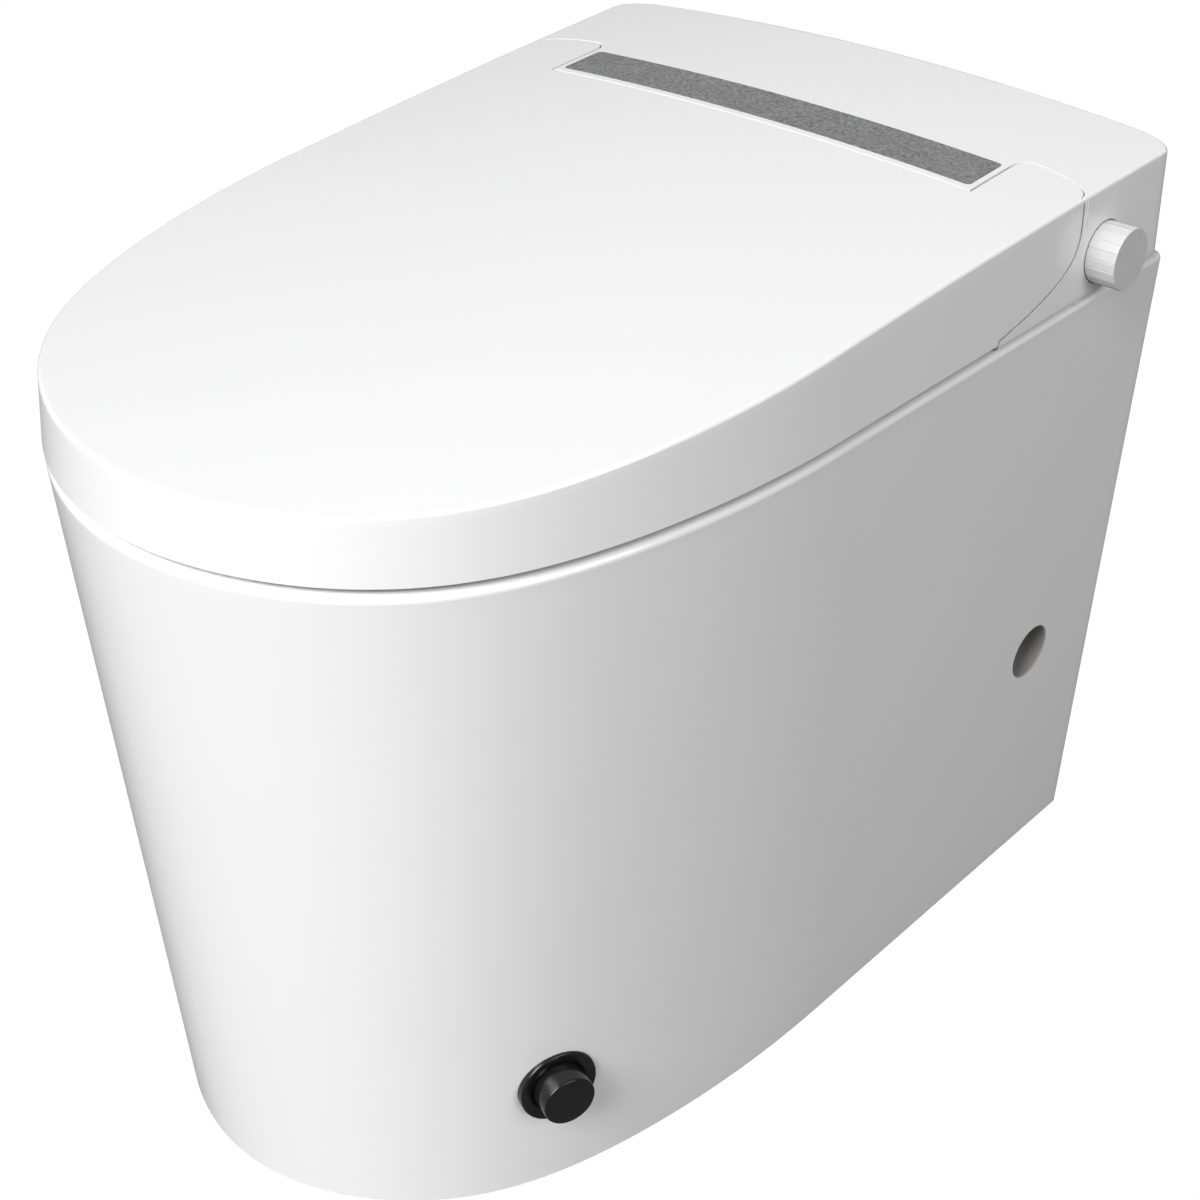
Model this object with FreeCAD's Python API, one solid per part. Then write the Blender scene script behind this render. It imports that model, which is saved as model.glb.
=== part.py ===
"""Smart toilet with a hinged lid and seat, side knob, foot button and wash nozzles.

Millimetres. Front is -Y, the wall is at +Y, +X is the knob side and the floor is z = 0.
"""
import math
import os

import FreeCAD
import Part
from FreeCAD import Vector

# Plan form and ceramic pan
rim_front = -295.0
rim_half = 198.7
rim_start = -2.0
base_front = -281.4
base_half = 172.3
base_start = 27.0
rear_y = 289.4
rear_bow = 3.2
flare = 0.0117
base_flare = 0.0033
front_power = 2.62
front_fullness = 0.014
front_skew = 0.024
pan_corner = 6.0
base_corner = 4.0
rim_z = 411.5
pan_wall = 12.0
rim_thick = 24.0
rim_round = 5.0
web_thick = 14.0
web_height = 60.0
service_half = 90.0
service_low = 30.0
service_high = 330.0

# Bowl and trap
bowl_centre = -98.0
bowl_half = 118.0
bowl_long = 152.0
sump_centre = -30.0
sump_half = 34.0
sump_long = 38.0
bowl_bottom = 84.0
bowl_wall = 10.0
trap_bore = 22.0
trap_wall = 7.0
trap_inlet_y = -8.0
trap_inlet_z = 110.0
trap_outlet_y = 105.0
trap_bend = 34.0
floor_seal_width = 14.0
floor_seal_high = 12.0

# Side holes and foot button
side_hole_y = 210.3
side_hole_z = 166.4
side_hole_r = 17.2
foot_y = -177.9
foot_z = 74.0
foot_turn = -20.0
bezel_r = 22.5
bezel_thick = 4.0
bezel_round = 2.0
foot_cap_r = 15.0
foot_proud = 16.0
foot_travel = 8.0
foot_sleeve = 2.0
foot_depth = 30.0
foot_cap_round = 3.0
foot_fit = 0.05

# Hood: one moulded form split into lid and rear cover
hood_gap = 4.0
hood_rise = 61.0
hood_wall = 3.5
hood_corner_wide = 34.0
hood_corner_long = 15.0
lean_front = 0.136
lean_side = 0.0265
flare_rise = 0.000113
top_slope = 0.061
top_radius = 7130.0
crown_radius = 2416.0
edge_round = 2.0
split_front = 118.0
split_step = 3.0
split_rear = 190.5
split_bend = 0.225
split_gap = 1.6
hinge_y = 183.0
hinge_deep = 5.6
knuckle_r = 7.5
knuckle_gap = 2.8
boss_fillet = 0.6
ear_pin = 14.0
tongue_half = 150.5
tongue_front = 158.5
notch_gap = 1.5
lid_pin_r = 3.0
pin_fit = 0.05
arm_thick = 4.2

# Display strip
strip_frame = 3.5
strip_front = 162.6
strip_rear = 196.0
strip_deep = 1.6
display_thick = 2.0

# Seat
seat_clear = 5.5
seat_plate = 4.0
seat_thick = 19.0
seat_inset = 11.0
seat_rear = 150.0
seat_hole_half = 105.0
seat_hole_long = 140.0
seat_round = 6.0
heater_thick = 1.0
heater_inset = 14.0
seat_axis_y = 168.0
seat_axis_rise = 38.5
seat_pin_r = 4.0
seat_knuckle_r = 9.0
seat_arm_gap = 1.5
seat_arm_wide = 10.0
buffer_r = 8.0
buffer_gap = 0.3
rest_x = 155.0
rest_y = -60.0
nose_rest_x = 100.0
nose_rest_y = -232.0
lid_rest_x = 130.0
lid_rest_y = -150.0
lid_rest_r = 7.0

# Chassis and hidden works
gasket_thick = 1.5
chassis_thick = 4.0
works_gap = 0.5
chassis_rear = 276.0
block_wide = 28.0
block_rear = 190.0
screw_r = 2.5
screw_head_r = 5.0
screw_head = 3.0
screw_deep = 10.0
screw_edge = 7.5
screw_front = 198.0
screw_rear = 266.0
standoff = 8.0
standoff_r = 4.0
board_thick = 1.6
board_wide = 40.0
board_long = 62.0
board_x = 88.0
works_front = 200.0
heater_x = -52.0
heater_wide = 82.0
heater_long = 66.0
heater_high = 38.0
heater_round = 6.0
pump_x = 40.0
pump_long = 40.0
pump_r = 17.0
valve_x = -130.0
valve_wide = 68.0
valve_long = 76.0
valve_high = 45.0

# Nozzles
nozzle_y = 74.0
nozzle_drop = 35.5
nozzle_dip = 20.0
nozzle_pitch = 36.0
wand_r = 7.0
wand_fit = 0.05
wand_long = 80.0
nozzle_long = 84.0
nozzle_half_wide = 42.0
nozzle_half_high = 11.0
nozzle_stroke = 60.0
slot_gap = 3.0
slot_front = 40.0

# Knob
knob_y = 214.5
knob_rise = 24.0
knob_r = 17.5
knob_flats = 20
knob_out = 2.3
knob_long = 18.0
knob_gap = 1.0
knob_travel = 3.0
knob_pad = 12.0
stem_r = 5.0
stem_fit = 0.05
encoder_r = 12.0
encoder_long = 20.0

# Water and power
inlet_x = -108.0
inlet_rise = 30.5
inlet_r = 10.4
inlet_bore = 6.0
flush_x = -75.0
flush_y = 205.0
flush_drop = 66.5
flush_r = 11.0
flush_bore = 8.0
flush_bend = 30.0
gland_x = 125.0
gland_rise = 30.5
gland_r = 8.0

reach = 700.0


def box(x0, x1, y0, y1, z0, z1):
    """Box between two corners."""
    return Part.makeBox(x1 - x0, y1 - y0, z1 - z0, Vector(x0, y0, z0))


def rod(x0, x1, y, z, r):
    """Cylinder along X."""
    return Part.makeCylinder(r, x1 - x0, Vector(x0, y, z), Vector(1, 0, 0))


def post(x, y, z0, z1, r):
    """Cylinder along Z."""
    return Part.makeCylinder(r, z1 - z0, Vector(x, y, z0), Vector(0, 0, 1))


def oval_corner(x, y, wide, long, quarter, z):
    """Quarter of an ellipse, from +X round to +Y or from there to -X."""
    centre = Vector(x, y, z)
    if abs(wide - long) < 1e-6:
        ring = Part.Circle(centre, Vector(0, 0, 1), wide)
    else:
        ring = Part.Ellipse(centre, wide, long)
    return ring.toShape(quarter * math.pi / 2, (quarter + 1) * math.pi / 2)


def outline(front, half, start, spread, corner, inset, z):
    """Plan wire: full front curve, spreading sides, oval rear corners and a bowed back."""
    nose = front + inset
    width = half - inset
    back = rear_y - inset
    wide, long = [max(c - inset, 3.0) for c in corner]
    count = 10
    points = []
    for i in range(-count, count + 1):
        turn = math.pi / 2 * abs(i) / count
        full = 1 + front_fullness * math.sin(2 * turn) ** 2
        full += front_skew * math.sin(4 * turn) * math.sin(2 * turn)
        x = width * math.sqrt(max(1 - math.cos(turn) ** front_power, 0)) * full
        y = nose + (start - nose) * (1 - math.cos(turn))
        points.append(Vector(math.copysign(x, i), y, z))
    edge = back - rear_bow
    far = width + spread * (edge - start)
    slope = (far - width) / (edge - long - start)
    curve = Part.BSplineCurve()
    curve.interpolate(points, InitialTangent=Vector(slope, -1, 0), FinalTangent=Vector(slope, 1, 0))
    side = Vector(far, edge - long, z)
    rear = Vector(far - wide, edge, z)
    edges = [curve.toShape()]
    edges.append(Part.makeLine(points[-1], side))
    edges.append(oval_corner(far - wide, edge - long, wide, long, 0, z))
    edges.append(Part.Arc(rear, Vector(0, back, z), Vector(-rear.x, rear.y, z)).toShape())
    edges.append(oval_corner(wide - far, edge - long, wide, long, 1, z))
    edges.append(Part.makeLine(Vector(-side.x, side.y, z), points[0]))
    return Part.Wire(edges)


def pan_sizes(z):
    """Nose, half width, start of the straight sides, their spread and the rear corner at a height."""
    s = z / rim_z
    front = base_front + (rim_front - base_front) * s
    half = base_half + (rim_half - base_half) * s
    start = base_start + (rim_start - base_start) * s
    spread = base_flare + (flare - base_flare) * s
    return front, half, start, spread, base_corner + (pan_corner - base_corner) * s


def pan_form(inset, z0, z1):
    """Skirted body of the pan between two heights, drawn in by an inset."""
    wires = []
    count = 4
    for i in range(count + 1):
        z = z0 + (z1 - z0) * i / count
        front, half, start, spread, corner = pan_sizes(z)
        wires.append(outline(front, half, start, spread, (corner, corner), inset, z))
    return Part.makeLoft(wires, True)


def skirt_x(y, z):
    """Half width of the pan's front curve at a place along it."""
    front, half, start, spread, corner = pan_sizes(z)
    turn = math.acos(1 - (y - front) / (start - front))
    full = 1 + front_fullness * math.sin(2 * turn) ** 2
    full += front_skew * math.sin(4 * turn) * math.sin(2 * turn)
    return half * math.sqrt(1 - math.cos(turn) ** front_power) * full


def ellipse(centre, half, length, z):
    """Ellipse in plan, long along Y."""
    tip = Vector(0, centre + length, z)
    side = Vector(half, centre, z)
    return Part.Wire(Part.Ellipse(tip, side, Vector(0, centre, z)).toShape())


def bowl_form(grow, z_top):
    """Bowl between its sump and a top height, grown by a wall."""
    wires = []
    count = 6
    low = bowl_bottom - grow
    for i in range(count + 1):
        z = low + (z_top - low) * i / count
        deep = max(0.0, (rim_z - z) / (rim_z - low)) ** 1.8
        centre = bowl_centre + (sump_centre - bowl_centre) * deep
        half = bowl_half + (sump_half - bowl_half) * deep + grow
        length = bowl_long + (sump_long - bowl_long) * deep + grow
        wires.append(ellipse(centre, half, length, z))
    return Part.makeLoft(wires, True)


def bent_pipe(start, corner, end, bend, r):
    """Round bar along two straight runs joined by a tangent arc."""
    a = (start - corner).normalize()
    b = (end - corner).normalize()
    half_angle = a.getAngle(b) / 2
    run = bend / math.tan(half_angle)
    p = corner + a * run
    q = corner + b * run
    bisector = (a + b).normalize()
    centre = corner + bisector * (bend / math.sin(half_angle))
    middle = centre - bisector * bend
    path = Part.Wire([Part.makeLine(start, p), Part.Arc(p, middle, q).toShape(), Part.makeLine(q, end)])
    ring = Part.Wire(Part.makeCircle(r, start, p - start))
    return path.makePipeShell([ring], True, False)


def side_sheet(points, half):
    """Closed YZ profile of points and curves, extruded across X."""
    face = Part.Face(Part.Wire(points))
    return face.extrude(Vector(2 * half, 0, 0))


def split_curve(gap, x):
    """Side split line: a short step, a low start, then a steepening rise to the vertical."""
    points = []
    count = 12
    for i in range(count + 1):
        v = i / count
        u = 1 - (1 - v) ** (1 / split_bend)
        y = split_front + gap + (split_rear - split_front) * u
        low = hood_low + split_step - gap
        z = low + (hinge_z - low) * v
        points.append(Vector(x, y, z))
    curve = Part.BSplineCurve()
    curve.interpolate(points)
    return points, curve.toShape()


def line_chain(points):
    """Straight edges through points."""
    return [Part.makeLine(p, q) for p, q in zip(points[:-1], points[1:])]


def top_centre():
    """Middle of the large circle that the hood's top follows from front to back."""
    lean = math.hypot(1, top_slope)
    return Vector(0, top_radius * top_slope / lean, top_z - top_radius / lean)


def top_at(x, y):
    """Height of the hood's top."""
    centre = top_centre()
    sag = crown_radius - math.sqrt(crown_radius ** 2 - x ** 2)
    return centre.z + math.sqrt((top_radius - sag) ** 2 - (y - centre.y) ** 2)


def hood_form(inset):
    """Full moulded hood above the rim: leaning sides under a top that is curved both ways."""
    wires = []
    for z in (rim_z, top_z + hood_rise):
        rise = z - hood_low
        front = rim_front + lean_front * rise
        half = rim_half - lean_side * rise
        spread = flare + flare_rise * (z - rim_z)
        corner = (hood_corner_wide, hood_corner_long)
        wires.append(outline(front, half, rim_start, spread, corner, inset, z - (inset > 0)))
    sides = Part.makeLoft(wires, True, True)
    centre = top_centre()
    high = top_radius - inset
    wide = rim_half * 1.4
    drop = crown_radius - math.sqrt(crown_radius ** 2 - wide ** 2)
    left = centre + Vector(-wide, 0, high - drop)
    right = centre + Vector(wide, 0, high - drop)
    deep = Vector(0, 0, 200)
    edges = [Part.Arc(left, centre + Vector(0, 0, high), right).toShape()]
    edges += line_chain([right, right - deep, left - deep, left])
    across = Vector(1, 0, 0)
    middle = math.degrees(math.asin(centre.y / top_radius))
    swing = math.degrees(math.asin(1.5 * abs(rim_front) / top_radius))
    section = Part.Face(Part.Wire(edges)).rotate(centre, across, middle - swing)
    crown = section.revolve(centre, across, 2 * swing)
    form = sides.common(crown).Solids[0]
    top = max(form.Faces, key=lambda f: f.CenterOfMass.z)
    r = max(edge_round - inset, 1.5)
    return form.makeFillet(r, top.OuterWire.Edges)


def lid_space(gap):
    """Room on the front side of the split line, with the hinge knuckles."""
    x = -reach / 2
    curve_points, curve = split_curve(gap, x)
    low = curve_points[0]
    high = curve_points[-1]
    floor_z = hood_low if gap == 0 else rim_z - 5
    front = -reach
    back = high.y
    edges = line_chain([Vector(x, front, floor_z), Vector(x, low.y, floor_z)])
    if low.z - floor_z > 1e-6:
        edges += line_chain([Vector(x, low.y, floor_z), low])
    edges.append(curve)
    edges += line_chain([high, Vector(x, back, reach), Vector(x, front, reach), Vector(x, front, floor_z)])
    space = side_sheet(edges, reach / 2)
    r = knuckle_r if gap == 0 else knuckle_r + knuckle_gap + gap - split_gap
    return space.fuse(rod(-reach / 2, reach / 2, hinge_y, hinge_z, r))


def cover_room(extra):
    """Everything in front of the rear cover, grown towards the cover by an extra."""
    gap = split_gap + extra
    room = lid_space(gap)
    inside = rim_half - arm_thick + extra
    room = room.fuse(box(-inside, inside, -reach, split_rear + gap, rim_z - 5, reach))
    half = tongue_half - extra
    return room.cut(box(-half, half, tongue_front + extra, reach, -reach, 2 * reach))


def strip_room(hood):
    """Thin curved plate under the hood surface where the display lies."""
    lower = hood.translated(Vector(0, 0, -strip_deep))
    plate = box(-strip_half, strip_half, strip_front, strip_rear, rim_z, reach)
    return plate.common(hood).cut(lower)


def mirrored(shape):
    """Copy on the other side of the middle plane."""
    return shape.mirror(Vector(0, 0, 0), Vector(1, 0, 0))


def both(shape):
    """The shape and its mirror image as one compound."""
    return Part.makeCompound([shape, mirrored(shape)])


def keep(name, shape):
    """Clean a shape, report it and write it as a STEP file."""
    solids = shape.Solids
    valid = all(s.isValid() for s in solids)
    result = solids[0] if len(solids) == 1 else Part.makeCompound(solids)
    result.exportStep("parts/%s.step" % name)
    b = result.optimalBoundingBox(False)
    spans = (b.XMin, b.XMax, b.YMin, b.YMax, b.ZMin, b.ZMax)
    print(name, len(solids), valid, round(result.Volume), [round(v, 1) for v in spans])


os.makedirs("parts", exist_ok=True)

# Heights above and below the rim, and what follows from the tongue and the sides
hood_low = rim_z + hood_gap
top_z = rim_z + hood_rise
hinge_z = top_at(tongue_half, hinge_y) - hinge_deep
seat_low = rim_z + seat_clear
seat_high = seat_low + seat_thick
seat_axis_z = rim_z + seat_axis_rise
nozzle_z = rim_z - nozzle_drop
knob_z = rim_z + knob_rise
inlet_z = rim_z + inlet_rise
gland_z = rim_z + gland_rise
flush_z = rim_z - flush_drop
strip_half = tongue_half - strip_frame
ear_end = tongue_half + notch_gap + ear_pin
knob_back = rim_half + knob_out
knob_face = knob_back + knob_long
knob_pad_in = knob_back - knob_pad
foot_x = skirt_x(foot_y, foot_z)
chassis_z = rim_z + gasket_thick
works_z = chassis_z + chassis_thick
tongue_inside = tongue_half - hood_wall
chassis_half = tongue_inside - works_gap
chassis_front = tongue_front + hood_wall + works_gap

# Foot button axis, pointing out of the skirt
turn = math.radians(foot_turn)
foot_axis = Vector(math.cos(turn), math.sin(turn), 0)
foot_at = Vector(foot_x, foot_y, foot_z)
sleeve_r = foot_cap_r + foot_sleeve


def foot_rod(s0, s1, r):
    """Cylinder on the foot button axis between two distances from the skirt."""
    return Part.makeCylinder(r, s1 - s0, foot_at + foot_axis * s0, foot_axis)


# Nozzle axis, pointing into the bowl
dip = math.radians(nozzle_dip)
wash_axis = Vector(0, -math.cos(dip), -math.sin(dip))
wash_up = Vector(0, -math.sin(dip), math.cos(dip))


def wash_rod(x, s0, s1, r):
    """Cylinder on a nozzle axis between two distances from its mouth."""
    return Part.makeCylinder(r, s1 - s0, Vector(x, nozzle_y, nozzle_z) + wash_axis * s0, wash_axis)


def wash_block(half, high, s0, s1):
    """Block lying along the nozzle axis."""
    block = Part.makeBox(2 * half, s1 - s0, 2 * high)
    block.translate(Vector(-half, -s1, -high))
    block.rotate(Vector(0, 0, 0), Vector(1, 0, 0), nozzle_dip)
    block.translate(Vector(0, nozzle_y, nozzle_z))
    return block


# Trap route
trap_in = Vector(0, trap_inlet_y, trap_inlet_z)
trap_top = Vector(0, trap_outlet_y, trap_inlet_z + trap_outlet_y - trap_inlet_y)
trap_out = Vector(0, trap_outlet_y, 0)

# Flush route
flush_in = Vector(flush_x, flush_y, works_z)
flush_corner = Vector(flush_x, flush_y, flush_z)
flush_out = Vector(flush_x, bowl_centre, flush_z)

# Ceramic pan
skirt = pan_form(0, 0, rim_z)
rim_edges = [e for e in skirt.Edges if all(abs(v.Z - rim_z) < 1e-3 for v in e.Vertexes)]
skirt = skirt.makeFillet(rim_round, rim_edges)
hollow = pan_form(pan_wall, -1, rim_z - rim_thick)
bowl_out = bowl_form(bowl_wall, rim_z - rim_thick / 2)
bowl_in = bowl_form(0, rim_z + 1)
web = box(-rim_half, rim_half, -web_thick / 2, web_thick / 2, 0, web_height).common(skirt)
pan = skirt.cut(hollow).fuse(web).fuse(bowl_out)
pan = pan.cut(bowl_in)
pan = pan.cut(bent_pipe(trap_in, trap_top, trap_out, trap_bend, trap_bore))
pan = pan.cut(bent_pipe(flush_in, flush_corner, flush_out, flush_bend, flush_bore))
pan = pan.cut(post(flush_x, flush_y, rim_z - rim_thick - 1, rim_z + 1, flush_r))
pan = pan.cut(box(-service_half, service_half, rear_y - 3 * pan_wall, rear_y + 1, service_low, service_high))
side_bar = rod(-reach / 2, reach / 2, side_hole_y, side_hole_z, side_hole_r)
pan = pan.cut(side_bar)
slot_half = nozzle_half_wide + slot_gap
slot_back = nozzle_y + nozzle_long * math.cos(dip) + nozzle_half_high * math.sin(dip) + slot_gap
slot_low = nozzle_z - nozzle_half_high - slot_gap * 2
pan = pan.cut(box(-slot_half, slot_half, slot_front, slot_back, slot_low, rim_z + 1))
pan = pan.cut(foot_rod(-foot_depth - 10, 20, sleeve_r))
pan = pan.cut(foot_rod(-1.5, 20, bezel_r))
screw_x = chassis_half - screw_edge
screw_places = [(x, y) for x in (-screw_x, screw_x) for y in (screw_front, screw_rear)]
for x, y in screw_places:
    pan = pan.cut(post(x, y, rim_z - screw_deep, rim_z + 1, screw_r))


def zone(shape, x0, x1, y0, y1, z0, z1):
    """Solids of a shape that lie in a box, where a plane of the box may be None for no limit."""
    lows = [-reach if v is None else v for v in (x0, y0, z0)]
    highs = [reach if v is None else v for v in (x1, y1, z1)]
    part = shape.common(box(lows[0], highs[0], lows[1], highs[1], lows[2], highs[2]))
    return [s for s in part.Solids if s.Volume > 1.0]


# The pan is one casting, kept as simple solids that meet face to face
deck_z = rim_z - rim_thick
back_y = rear_y - rear_bow - pan_wall
side_y = base_start
nose_y = rim_front / 2
web_y = web_thick / 2
lower = zone(pan, None, None, None, None, None, deck_z)
lower.sort(key=lambda s: s.Volume)
shell = lower[-1]
bowl_shell = Part.makeCompound(lower[:-1])
pieces = []
for x0, x1 in ((None, 0), (0, None)):
    pieces += zone(shell, x0, x1, None, nose_y, None, None)
    pieces += zone(shell, x0, x1, nose_y, -web_y, None, None)
    pieces += zone(shell, x0, x1, -web_y, web_y, web_height, None)
    pieces += zone(shell, x0, x1, web_y, side_y, None, None)
    pieces += zone(shell, x0, x1, side_y, back_y, None, None)
    pieces += zone(bowl_shell, x0, x1, None, bowl_centre, None, None)
    pieces += zone(bowl_shell, x0, x1, bowl_centre, sump_centre, None, None)
    pieces += zone(bowl_shell, x0, x1, sump_centre, None, None, None)
    pieces += zone(pan, x0, x1, None, bowl_centre, deck_z, None)
    pieces += zone(pan, x0, x1, bowl_centre, slot_front, deck_z, None)
pieces += zone(shell, None, None, -web_y, web_y, None, web_height)
pieces += zone(shell, None, -service_half, back_y, None, None, None)
pieces += zone(shell, service_half, None, back_y, None, None, None)
pieces += zone(shell, -service_half, service_half, back_y, None, None, service_low)
pieces += zone(shell, -service_half, service_half, back_y, None, service_high, None)
pieces += zone(pan, None, -slot_half, slot_front, None, deck_z, None)
pieces += zone(pan, slot_half, None, slot_front, None, deck_z, None)
pieces += zone(pan, -slot_half, slot_half, slot_front, None, deck_z, None)
keep("ceramic_pan", Part.makeCompound(pieces))

# Trap
trap = bent_pipe(trap_in, trap_top, trap_out, trap_bend, trap_bore + trap_wall)
trap = trap.cut(bent_pipe(trap_in, trap_top, trap_out, trap_bend, trap_bore)).cut(bowl_out)
trap = max(trap.Solids, key=lambda s: s.Volume)
keep("trap_pipe", trap)
seal_r = trap_bore + trap_wall
seal = post(0, trap_outlet_y, 0, floor_seal_high, seal_r + floor_seal_width)
keep("floor_seal", seal.cut(post(0, trap_outlet_y, -1, floor_seal_high + 1, seal_r)))

# Hood split into lid and rear cover
hood = hood_form(0)
hood_inside = hood_form(hood_wall)
tongue_room = box(-tongue_half - notch_gap, tongue_half + notch_gap, tongue_front - notch_gap, reach, 0, reach)
lid = hood.common(lid_space(0)).cut(tongue_room)
boss = rod(-reach / 2, reach / 2, hinge_y, hinge_z, knuckle_r + boss_fillet)
bore = rod(-ear_end, ear_end, hinge_y, hinge_z, lid_pin_r + pin_fit)
lid = lid.cut(hood_inside.cut(boss)).cut(bore)
keep("lid_shell", lid)

cover = hood.cut(cover_room(0))
cover = cover.cut(hood_inside.cut(cover_room(hood_wall)))
pad = rod(knob_pad_in, reach / 2, knob_y, knob_z, knob_r + knob_gap + hood_wall).common(hood)
cover = cover.fuse(pad)
recess = knob_back - knob_travel - knob_gap
cover = cover.cut(rod(recess, reach / 2, knob_y, knob_z, knob_r + knob_gap))
cover = cover.cut(rod(knob_pad_in - 1, reach / 2, knob_y, knob_z, stem_r + stem_fit))
strip = strip_room(hood)
cover = cover.cut(strip)
cover = cover.cut(rod(-tongue_half, tongue_half, hinge_y, hinge_z, lid_pin_r))
cover = cover.cut(rod(-tongue_half, tongue_half, seat_axis_y, seat_axis_z, seat_pin_r))
inlet_cut = Part.makeCylinder(inlet_r, 3 * hood_wall, Vector(inlet_x, rear_y - 3 * hood_wall, inlet_z), Vector(0, 1, 0))
gland_cut = Part.makeCylinder(gland_r, 3 * hood_wall, Vector(gland_x, rear_y - 3 * hood_wall, gland_z), Vector(0, 1, 0))
cover = cover.cut(inlet_cut).cut(gland_cut)
keep("rear_cover", cover)
keep("display_window", strip)

# Display electronics and hinges in the tongue
block_in = tongue_inside - block_wide
board_half = block_in - works_gap
under = hood_inside.translated(Vector(0, 0, -display_thick))
display = box(-board_half, board_half, strip_front + works_gap, strip_rear, rim_z, reach)
keep("display_board", display.common(hood_inside).cut(under))
block = box(block_in, tongue_inside, chassis_front, block_rear, works_z, reach).common(hood_inside)
block = block.cut(rod(0, reach / 2, hinge_y, hinge_z, lid_pin_r))
block = block.cut(rod(0, reach / 2, seat_axis_y, seat_axis_z, seat_pin_r))
keep("hinge_blocks", both(block))
keep("lid_pins", both(rod(block_in, ear_end - buffer_gap, hinge_y, hinge_z, lid_pin_r)))
arm_in = tongue_half + seat_arm_gap
arm_out = arm_in + seat_arm_wide
keep("seat_pins", both(rod(block_in, arm_out, seat_axis_y, seat_axis_z, seat_pin_r)))


def seat_ring(inset, hole, rear, z0, z1):
    """Seat plan with its opening between two heights."""
    plan = Part.Face(outline(rim_front, rim_half, rim_start, flare, (hood_corner_long, hood_corner_long), inset, z0))
    ring = plan.extrude(Vector(0, 0, z1 - z0))
    ring = ring.cut(box(-reach, reach, rear, reach, z0 - 1, z1 + 1))
    cut = Part.Face(ellipse(bowl_centre, seat_hole_half + hole, seat_hole_long + hole, z0 - 1))
    return ring.cut(cut.extrude(Vector(0, 0, z1 - z0 + 2)))


# Seat
plate_z = seat_low + seat_plate
seat = seat_ring(seat_inset, 0, seat_rear, plate_z, seat_high)
seat = seat.Solids[0].makeFillet(
    seat_round, [e for e in seat.Edges if all(abs(v.Z - seat_high) < 1e-3 for v in e.Vertexes)])
knuckle = rod(arm_in, arm_out, seat_axis_y, seat_axis_z, seat_knuckle_r)
arm_y = seat_rear - 2 * seat_arm_wide
profile = [Vector(arm_in, arm_y, plate_z), Vector(arm_in, seat_rear + seat_round, plate_z)]
profile.append(Vector(arm_in, seat_axis_y + seat_knuckle_r, seat_axis_z))
profile.append(Vector(arm_in, seat_axis_y, seat_axis_z + seat_knuckle_r))
profile.append(Vector(arm_in, arm_y, seat_high - seat_round / 3))
arm = Part.Face(Part.Wire(line_chain(profile + profile[:1]))).extrude(Vector(seat_arm_wide, 0, 0))
arm = arm.fuse(knuckle)
seat = seat.fuse(arm).fuse(mirrored(arm))
seat = seat.cut(rod(-reach / 2, reach / 2, seat_axis_y, seat_axis_z, seat_pin_r + pin_fit))
film = seat_ring(seat_inset + heater_inset, heater_inset, seat_rear - heater_inset, plate_z, plate_z + heater_thick)
keep("seat_top", seat.cut(film))
keep("seat_base", seat_ring(seat_inset + seat_round / 3, seat_round / 3, seat_rear, seat_low, plate_z))
keep("seat_heater", film)
rests = [(rest_x, rest_y), (nose_rest_x, nose_rest_y)]
pads = [post(x, y, rim_z + buffer_gap, seat_low, buffer_r) for x, y in rests]
keep("seat_buffers", both(Part.makeCompound(pads)))
lid_pad = post(lid_rest_x, lid_rest_y, seat_high + buffer_gap, reach, lid_rest_r).common(hood_inside)
keep("lid_buffers", both(lid_pad))

# Chassis and works
holes = [post(x, y, rim_z - 1, works_z + 1, screw_r) for x, y in screw_places]
holes.append(post(flush_x, flush_y, rim_z - 1, works_z + 1, flush_r))
gasket = box(-chassis_half, chassis_half, chassis_front, chassis_rear, rim_z, chassis_z)
chassis = box(-chassis_half, chassis_half, chassis_front, chassis_rear, chassis_z, works_z)
for hole in holes:
    gasket = gasket.cut(hole)
    chassis = chassis.cut(hole)
board_ends = (board_x + standoff_r, board_x + board_wide - standoff_r)
board_sides = (works_front + standoff_r, works_front + board_long - standoff_r)
for x in board_ends:
    for y in board_sides:
        chassis = chassis.fuse(post(x, y, works_z, works_z + standoff, standoff_r))
keep("deck_gasket", gasket)
keep("chassis_plate", chassis)
screws = []
for x, y in screw_places:
    head = post(x, y, works_z, works_z + screw_head, screw_head_r)
    screws.append(head.fuse(post(x, y, rim_z - screw_deep, works_z, screw_r)))
keep("chassis_screws", Part.makeCompound(screws))
board_z = works_z + standoff
keep("control_board", box(
    board_x, board_x + board_wide, works_front, works_front + board_long, board_z, board_z + board_thick))
tank = box(heater_x, heater_x + heater_wide, works_front, works_front + heater_long, works_z, works_z + heater_high)
tank = tank.makeFillet(heater_round, [e for e in tank.Edges if e.BoundBox.ZMax > works_z + 1])
keep("water_heater", tank)
pump_y = works_front + pump_r
pump = rod(pump_x, pump_x + pump_long, pump_y, works_z + pump_r, pump_r)
pump = pump.fuse(box(
    pump_x + pump_r / 2, pump_x + pump_long - pump_r / 2, works_front, works_front + 2 * pump_r, works_z, works_z + pump_r / 2))
keep("booster_pump", pump)
valve_rear = works_front - works_gap + valve_long
valve = box(valve_x, valve_x + valve_wide, works_front - works_gap * 8, valve_rear, works_z, works_z + valve_high)
valve = valve.cut(post(flush_x, flush_y, works_z - 1, works_z + valve_high / 2, flush_bore))
keep("flush_valve", valve)
inlet = Part.makeCylinder(inlet_r, reach, Vector(inlet_x, valve_rear, inlet_z), Vector(0, 1, 0)).common(hood)
inlet = inlet.cut(Part.makeCylinder(inlet_bore, reach, Vector(inlet_x, valve_rear, inlet_z), Vector(0, 1, 0)))
keep("inlet_fitting", inlet)
flush = bent_pipe(flush_in, flush_corner, flush_out, flush_bend, flush_r)
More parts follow.
